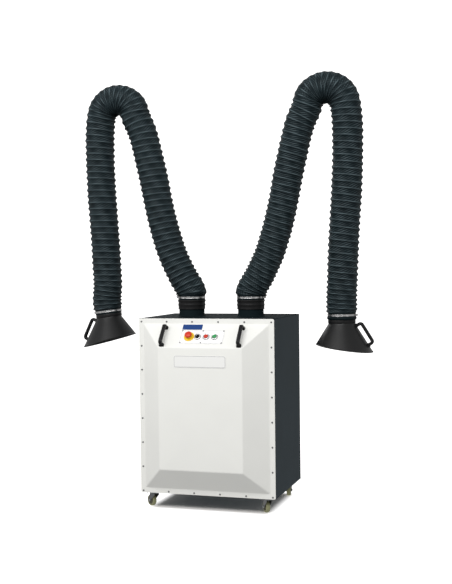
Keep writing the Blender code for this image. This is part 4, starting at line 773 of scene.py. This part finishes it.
def cuff():
    """Collar with a rolled rim under the hose, a second band below it, and a spigot above, turned about Z."""
    foot, top = TOP_Z + 0.042, TOP_Z + 0.097
    tip, step = top + SPIGOT_LENGTH, top - 0.0247
    inner, bore = SPIGOT_RADIUS - DUCT_WALL, DUCT_RADIUS + 0.0004
    return lathe(rounded([
        (SPIGOT_RADIUS, tip), (SPIGOT_RADIUS, top), (0.0822, top), (0.0826, top - 0.010), (0.0795, top - 0.012),
        (0.0795, top - 0.024), (0.0812, top - 0.026), (0.0812, top - 0.034), (0.0795, top - 0.036),
        (0.0795, foot + 0.004), (0.0806, foot + 0.003), (0.0806, foot), (bore, foot), (bore, step),
        (inner, step), (inner, tip),
    ], 0.0012, 3), 96)


def stub():
    """Duct stub with a flange that is welded to the top plate, turned about Z."""
    top, low, seat_z, inner = TOP_Z + 0.072, TOP_Z - 0.02, TOP_Z + FIT, DUCT_RADIUS - DUCT_WALL
    return lathe(rounded([
        (DUCT_RADIUS, top), (DUCT_RADIUS, seat_z + 0.005), (0.0766, seat_z + 0.003), (0.081, seat_z + 0.003),
        (0.081, seat_z), (DUCT_RADIUS, seat_z), (DUCT_RADIUS, low), (inner, low), (inner, top),
    ], 0.0012, 3), 96)


for side in SIDES:
    local = arm_frame(side)
    base_clamp = local @ shifted(0, 0, HOSE_START_Z + BASE_CLAMP_UP)
    hood_clamp = hood_frame(side) @ shifted(0, 0, HOOD_CLAMP_UP[side] - PIVOT_FROM_END)
    for name, parts, body, material, node, matrix in (
        # the stub's darker coat is a painted shade
        ("duct_stub", [stub()], "cabinet", SHADED_ANTHRACITE, "stub_pipe", local),
        ("cuff_collar", [cuff()], f"arm_swivel_{side}", BLACK_PLASTIC, "swivel_cuff", local),
        ("base_band", worm_band(), f"arm_swivel_{side}", BAND_STEEL, "base_clamp", base_clamp),
        ("hood_band", worm_band(), f"suction_hood_{side}", BAND_STEEL, "hood_clamp", hood_clamp),
    ):
        solid(f"{name}_{side}", parts, body, material, [f"{node}_{side}"], matrix=matrix, sharp=40)


# ---- hoods: heights are from the hood's pin ----

END_Z = -PIVOT_FROM_END - FIT
NECK_Z = END_Z - NECK_LENGTH
NOTCH_TURN = {"left": 2.2, "right": -1.3}


def hood_shell():
    """Spigot, neck and cone: rows run down the outside to an oblique mouth, round a rolled rim, and up inside.

    At angle a, the cone's side reaches the mouth where its drop is MOUTH_DROP + x * tan(MOUTH_TILT), with
    x = (DUCT_RADIUS + drop * slope) * cos(a). A row of the cone lies a share of that drop down the side
    and a little off it.
    """
    angle = TAU * np.arange(96) / 96
    slope, lean = math.tan(CONE_ANGLE), math.tan(MOUTH_TILT) * np.cos(angle)
    reach = (MOUTH_DROP + DUCT_RADIUS * lean) / (1 - slope * lean)
    tip, inner = END_Z + SPIGOT_LENGTH, SPIGOT_RADIUS - DUCT_WALL
    pipe = [
        (SPIGOT_RADIUS - 0.0006, tip), (SPIGOT_RADIUS, tip - 0.002), (SPIGOT_RADIUS, END_Z), (0.0748, END_Z),
        (DUCT_RADIUS, END_Z - 0.001), (DUCT_RADIUS, NECK_Z + 0.004),
    ]
    cone = [
        (0.012, 0.0002), (0.03, 0), (0.3, 0), (0.6, 0), (0.9, 0), (0.962, 0), (0.970, 0.0012),
        (0.985, 0.0021), (0.997, 0.0012), (1.0, -0.0012), (0.994, -0.0025), (0.9, -0.0025), (0.6, -0.0025),
        (0.3, -0.0025), (0.03, -0.0025),
    ]
    rows = [ring(r, angle, z) for r, z in pipe]
    for share, off in cone:
        drop = reach * share
        radius = DUCT_RADIUS + drop * slope + off * math.cos(CONE_ANGLE)
        rows.append(ring(radius, angle, NECK_Z - drop + off * math.sin(CONE_ANGLE)))
    rows += [ring(inner, angle, z) for z in (NECK_Z + 0.002, tip)]
    return np.concatenate(rows), grid_quads(len(rows), 96, close_rows=True)


def neck_band(notch_turn):
    """A moulded band round the neck, whose lower edge rises near a notch.

    With off the angle from the notch, it rises by a V of 7 mm that falls to nothing over 0.16 radians on
    both sides, and on one side by sin(2 * off) times 3 mm too, over 1.6 radians.
    """
    angle = TAU * np.arange(120) / 120
    off = (angle - notch_turn + math.pi) % TAU - math.pi
    notch = np.clip(1 - abs(off) / 0.16, 0, 1) * 0.007
    wave = np.where((off > 0) & (off < 1.6), np.sin(np.clip(off, 0, 1.6) * 2) * 0.003, 0)
    low, top = NECK_Z + 0.001 + (notch + wave), END_Z - 0.0008
    rows = [
        (0.0752, top), (0.0772, top), (0.0782, top - 0.002), (0.0782, low + 0.002), (0.0772, low),
        (0.0752, low),
    ]
    verts = np.concatenate([ring(r, angle, z) for r, z in rows])
    return verts, grid_quads(len(rows), len(angle), close_rows=True)


def cone_frame(along):
    """Frame on the outer side of the cone: X down along it, Z out of it."""
    x = DUCT_RADIUS + along * math.sin(CONE_ANGLE)
    z = NECK_Z - along * math.cos(CONE_ANGLE)
    return shifted(x, 0, z) @ turned(math.pi / 2 - CONE_ANGLE, "Y")


for side in SIDES:
    local, body, node = hood_frame(side), f"suction_hood_{side}", f"hood_{side}"
    solid(f"hood_cone_{side}", [hood_shell()], body, HOOD_PLASTIC, [node], matrix=local, sharp=40)
    band = [neck_band(NOTCH_TURN[side])]
    solid(f"hood_neck_band_{side}", band, body, BLACK_PLASTIC, matrix=local)
    bow = [loop_handle(0.147, 0.042, 0.0190, 0.026, 0.026, 2.6)] + foot_pads(0.147, 0.0160, 0.020, 0.006)
    over_cone = local @ cone_frame(0.006 + 0.073)
    solid(f"hood_bow_{side}", bow, body, BLACK_PLASTIC, [f"hood_handle_{side}"], matrix=over_cone, sharp=40)


# ---- hoses ----

RIB_RADIUS, VALLEY_RADIUS, SLEEVE_RADIUS, INSIDE_RADIUS = 0.0897, 0.0820, 0.0795, 0.0742
MEAN_RADIUS = 0.085
# Steps of the mesh along and round the hose
RING_STEP, ROUND_COUNT = 0.0033, 132
# Distance from wire to wire: on a straight run, at most on the outside of a bend, and tighter at each end
STRAIGHT_PITCH, OUTER_PITCH = 0.0368, 0.042
BASE_PITCH = {"left": 0.0300, "right": 0.0225}
END_PITCH = {"left": 0.0282, "right": 0.0265}
# What lies flat under each clamp, and the hem's flare below the right hood's clamp
FLAT_START, FLAT_END = 0.022, {"left": 0.024, "right": 0.036}
HEM_FROM_END, HEM_WIDTH, HEM_FLARE = 0.009, 0.0075, {"left": 0.0, "right": 0.0052}
# Where each hose is cut in three, from either end
LENGTH_CUT = 0.34


def averaged(points, windows):
    """Each point as the mean of itself and as many neighbours on both sides as its window says."""
    return np.array([points[i - w:i + w + 1].mean(0) for i, w in enumerate(windows)])


def smoothstep(t):
    """3 t^2 - 2 t^3, with t held between 0 and 1."""
    t = np.clip(t, 0, 1)
    return t * t * (3 - 2 * t)


def lengths_along(line):
    """Distance from a line's start to each of its points."""
    return np.concatenate([[0], np.cumsum(np.linalg.norm(np.diff(line, axis=0), axis=1))])


def resampled(line, lengths, where):
    """Points of a line at given distances from its start."""
    return np.stack([np.interp(where, lengths, line[:, k]) for k in (0, 1)], -1)


def route(side):
    """The solid's own centreline in the arm's X and Z: a Catmull-Rom curve, evened and averaged twice."""
    leg, reach = BEND_Z - HOSE_START_Z, BEND_REACH - BEND_RADIUS
    inner, outer = np.array(INNER_LEG), np.array(OUTER_LEG)
    angle = math.pi * (1 - np.arange(7) / 6)
    pivot, end = hood_pivot(side), np.array([HOOD_REACH, HOSE_END_Z[side]])
    points = np.concatenate([
        np.stack([reach * inner[:, 1], HOSE_START_Z + leg * inner[:, 0]], -1),
        np.stack([BEND_REACH + BEND_RADIUS * np.cos(angle), BEND_Z + BEND_RADIUS * np.sin(angle)], -1),
        np.stack([HOOD_REACH + LEG_BULGE * outer[:, 1], BEND_Z - (BEND_Z - pivot[1]) * outer[:, 0]], -1),
        [pivot + (pivot - end) / 2, pivot, (pivot + end) / 2, end],
    ])
    padded = np.concatenate([[points[0] * 2 - points[1]], points, [points[-1] * 2 - points[-2]]])
    a, b, c, d = (padded[i:len(padded) - 3 + i][:, None] for i in range(4))
    t = (np.arange(12) / 12)[None, :, None]
    leave, arrive = (c - a) / 2, (d - b) / 2
    curve = b + leave * t + ((c - b) * 3 - leave * 2 - arrive) * t**2 + ((b - c) * 2 + leave + arrive) * t**3
    curve = np.concatenate([curve.reshape(-1, 2), points[-1:]])
    lengths = lengths_along(curve)
    count = round(lengths[-1] / 0.005)
    line = resampled(curve, lengths, np.linspace(0, lengths[-1], count + 1))
    i = np.arange(count + 1)
    windows = np.clip(np.minimum(i, count - i) - 5, 0, 5)
    return averaged(averaged(line, windows), windows)


class Hose:
    """The hose of one side: its rings along the route, their tangents and curl, and the count of its wires."""

    def __init__(self, side):
        self.side = side
        line = route(side)
        lengths = lengths_along(line)
        self.total, self.apex = lengths[-1], lengths[line[:, 1].argmax()]
        self.s = s = np.linspace(0, self.total, round(self.total / RING_STEP) + 1)
        self.line = resampled(line, lengths, s)
        tangent = np.gradient(self.line, s, axis=0)
        kernel = np.ones(9) / 9
        smooth = [np.convolve(np.pad(tangent[:, k], 4, "edge"), kernel, "valid") for k in (0, 1)]
        tangent = np.stack(smooth, -1)
        self.tangent = tangent / np.linalg.norm(tangent, axis=1)[:, None]
        self.curl = np.gradient(np.unwrap(np.arctan2(self.tangent[:, 1], self.tangent[:, 0])), s)
        self.wires = np.cumsum(RING_STEP / self.pitch())
        held = smoothstep((s - FLAT_START) / 0.010), smoothstep((self.total - FLAT_END[side] - s) / 0.010)
        self.free = held[0] * held[1]

    def pitch(self):
        """Distance from wire to wire: it shrinks with the curl, and eases to its tight ends."""
        pitch = np.minimum(STRAIGHT_PITCH, OUTER_PITCH / (1 + MEAN_RADIUS * abs(self.curl)))
        for tight, ease in (
            (BASE_PITCH[self.side], np.clip(self.s / 0.70, 0, 1)),
            (END_PITCH[self.side], smoothstep((self.total - self.s - 0.10) / 0.25)),
        ):
            pitch = np.minimum(pitch, tight + (STRAIGHT_PITCH - tight) * ease)
        return pitch

    def skin(self, low, high):
        """Outer rings of wires with sagging cloth between, then plain inner rings back: a closed tube wall.

        The wire is a helix: a point's phase is its ring's count of wires plus its share of a turn, and
        part is how far it lies past the last wire, from 0 to 1. The radius is the rib's at a wire and
        falls to the valley's between two, by 1 minus a raised cosine to the power of 1.5. It falls less
        where a bend stretches the cloth, and grows where a bend squeezes it. The wrinkles are sines of
        the angle, the phase and the length, times 4 * part * (1 - part). Where a clamp holds the hose,
        the radius is the sleeve's. The marks are a painted highlight, high on the wire's crest and on the
        wrinkles' crests.
        """
        first, last = np.searchsorted(self.s, [low - 1e-6, high - 1e-6])
        rows = np.arange(first, min(last, len(self.s) - 1) + 1)
        angle = TAU * np.arange(ROUND_COUNT) / ROUND_COUNT
        s, th = self.s[rows][:, None], angle[None, :]
        phase = self.wires[rows][:, None] + th / TAU
        wire, part = np.floor(phase), phase % 1
        bend = -self.curl[rows][:, None] * np.cos(th) * MEAN_RADIUS
        squeeze, stretch = np.clip(bend, 0, 1), np.clip(-bend, 0, 1)
        crest = (0.5 + 0.5 * np.cos(TAU * part)) ** 1.5
        sag = 4 * part * (1 - part)
        ridge_and_highlight = np.exp(-((np.minimum(part, 1 - part) * STRAIGHT_PITCH) / 0.0019) ** 2)
        slanted = np.sin(22 * th - 3 * TAU * part + 2.1 * np.sin(wire * 1.7) + 1.2 * np.sin(3 * th + wire))
        slack = 0.55 + 0.45 * np.sin(5 * th + 2.3 * wire) * np.sin(2 * th - 1.1 * wire)
        broad = np.sin(7 * th + 61 * s + 3 * np.sin(9 * s))
        broad = broad + 0.7 * np.sin(11 * th - 93 * s + 2 * np.sin(13 * s + 1))
        creased = np.cos(2 * TAU * part) * squeeze
        sway = 0.0010 * np.sin(2 * th + 17 * s) + 0.0007 * np.sin(3 * th - 29 * s + 1.3)
        fall = (RIB_RADIUS - VALLEY_RADIUS) * (1 - crest) * (1 - 0.8 * stretch)
        wrinkles = 0.0014 * slanted * slack + 0.0004 * broad + 0.0014 * creased
        ribbed = RIB_RADIUS - fall + 0.0055 * squeeze**2 + 0.0007 * ridge_and_highlight + sag * wrinkles + sway * 0.4
        free = self.free[rows][:, None]
        hem = np.exp(-(((s - (self.total - HEM_FROM_END)) / HEM_WIDTH) ** 2)) * HEM_FLARE[self.side]
        inner_rows = np.concatenate([rows[:-1:6], rows[-1:]])[::-1]
        inside = np.full((len(inner_rows), ROUND_COUNT), INSIDE_RADIUS)
        radius = np.concatenate([SLEEVE_RADIUS + (ribbed - SLEEVE_RADIUS) * free + hem, inside])[..., None]
        all_rows = np.concatenate([rows, inner_rows])
        centre, tangent = self.line[all_rows], self.tangent[all_rows]
        out = np.stack([tangent[:, 1], 0 * tangent[:, 0], -tangent[:, 0]], -1)
        middle = np.stack([centre[:, 0], 0 * centre[:, 0], centre[:, 1]], -1)
        around = np.cos(angle)[:, None] * out[:, None] + np.sin(angle)[:, None] * np.array([0, 1, 0])
        verts = middle[:, None] + radius * around
        # Painted highlight: a paler tone on the wire's crest and the wrinkles' crests, weaker where a bend
        # squeezes the cloth
        painted_highlight = ridge_and_highlight * (0.8 + 0.2 * np.sin(5 * th + 40 * s)) + 0.8 * np.clip(slanted, 0, 1) ** 2 * slack * sag
        marks = np.concatenate([np.clip(painted_highlight, 0, 1) * free * (1 - 0.7 * squeeze), 0 * inside])
        uv = np.stack(np.broadcast_arrays(self.s[all_rows][:, None], th * MEAN_RADIUS), -1)
        along = np.repeat(self.s[all_rows], ROUND_COUNT)
        quads = grid_quads(len(all_rows), ROUND_COUNT, close_rows=True)
        return verts.reshape(-1, 3), quads, uv.reshape(-1, 2), marks.ravel(), along


def hose_piece(hose, label, low, high):
    """A length of hose between two distances along it, put in the arm's frame and baked there, on no body.
    """
    verts, quads, uv, marks, along = hose.skin(low, high)
    # The mark carries the cloth's painted highlight
    obj = solid(
        f"hose_{label}_{hose.side}", [(verts, quads)], None, HOSE_CLOTH, [f"hose_{hose.side}"],
        matrix=arm_frame(hose.side), sharp=70, weld=False, uv=uv, marks={"ridge_and_highlight": marks},
    )
    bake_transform(obj)


for side in SIDES:
    hose = Hose(side)
    bodies = ("arm_swivel", "lower_arm", "upper_arm", "suction_hood")
    swivel, lower, upper, hood = (f"{body}_{side}" for body in bodies)
    end = hose.total - LENGTH_CUT
    hose_piece(hose, "base", 0.0, LENGTH_CUT)
    hose_piece(hose, "bend", LENGTH_CUT, end)
    hose_piece(hose, "end", end, hose.total)


# ---- castors ----

TURNED_OVER = turned(math.pi, "X")
CASTOR_INSET_X, CASTOR_INSET_Y, CASTOR_TRAIL = 0.060, 0.055, 0.024
CASTOR_TURN = {"front_left": 145, "front_right": 125, "rear_left": 200, "rear_right": 280}
# Outlines of the tyre and of the core with its hub: (radius, height along the axle)
TYRE = rounded([
    (WHEEL_RADIUS, 0.008), (WHEEL_RADIUS, -0.008), (0.0300, -0.012), (0.0245, -0.0118), (0.0245, 0.0118),
    (0.0300, 0.012),
], 0.003, 5)
CORE = rounded([
    (0.0246, 0.0105), (0.0246, -0.0105), (0.0215, -0.0105), (0.0205, -0.004), (0.0120, -0.004),
    (0.0105, -0.014), (0.0043, -0.014), (0.0043, 0.014), (0.0105, 0.014), (0.0120, 0.004), (0.0205, 0.004),
    (0.0215, 0.0105),
], 0.0014, 3)
NUTS = placed(hex_head(0.0062, 0.006), [(0, 0, 0.0170)])
NUTS += placed(hex_head(0.0062, 0.005), [(0, 0, -0.0170)], turn=TURNED_OVER)
BOLT_PLACES = [(x, y, -0.0033) for x in (-0.030, 0.030) for y in (-0.030, 0.030)]
BOLTS = placed(hex_head(0.005, 0.004), BOLT_PLACES, turn=TURNED_OVER)

for corner, degrees in CASTOR_TURN.items():
    depth, width = corner.split("_")
    x = SIDES[width] * (CABINET_WIDTH / 2 - CASTOR_INSET_X)
    y = FRONT_Y + CASTOR_INSET_Y if depth == "front" else BACK_Y - CASTOR_INSET_Y
    mount = shifted(x, y, BASE_Z)
    swivel = mount @ turned(math.radians(degrees), "Z")
    axle = swivel @ shifted(CASTOR_TRAIL, 0, WHEEL_RADIUS - BASE_Z) @ turned(math.pi / 2, "X")
    roller, wheel = f"castor_roller_{corner}", f"castor_wheel_{corner}"
    solid(f"castor_tyre_{corner}", [lathe(TYRE, 72)], roller, TREAD, [wheel], matrix=axle, sharp=40)
    solid(f"castor_core_{corner}", [lathe(CORE, 72)], roller, WHEEL_CORE, matrix=axle, sharp=40)
    solid(f"castor_nuts_{corner}", NUTS, f"castor_swivel_{corner}", ZINC, matrix=axle, sharp=40)
    solid(f"castor_bolts_{corner}", BOLTS, "cabinet", ZINC, matrix=mount, sharp=40)
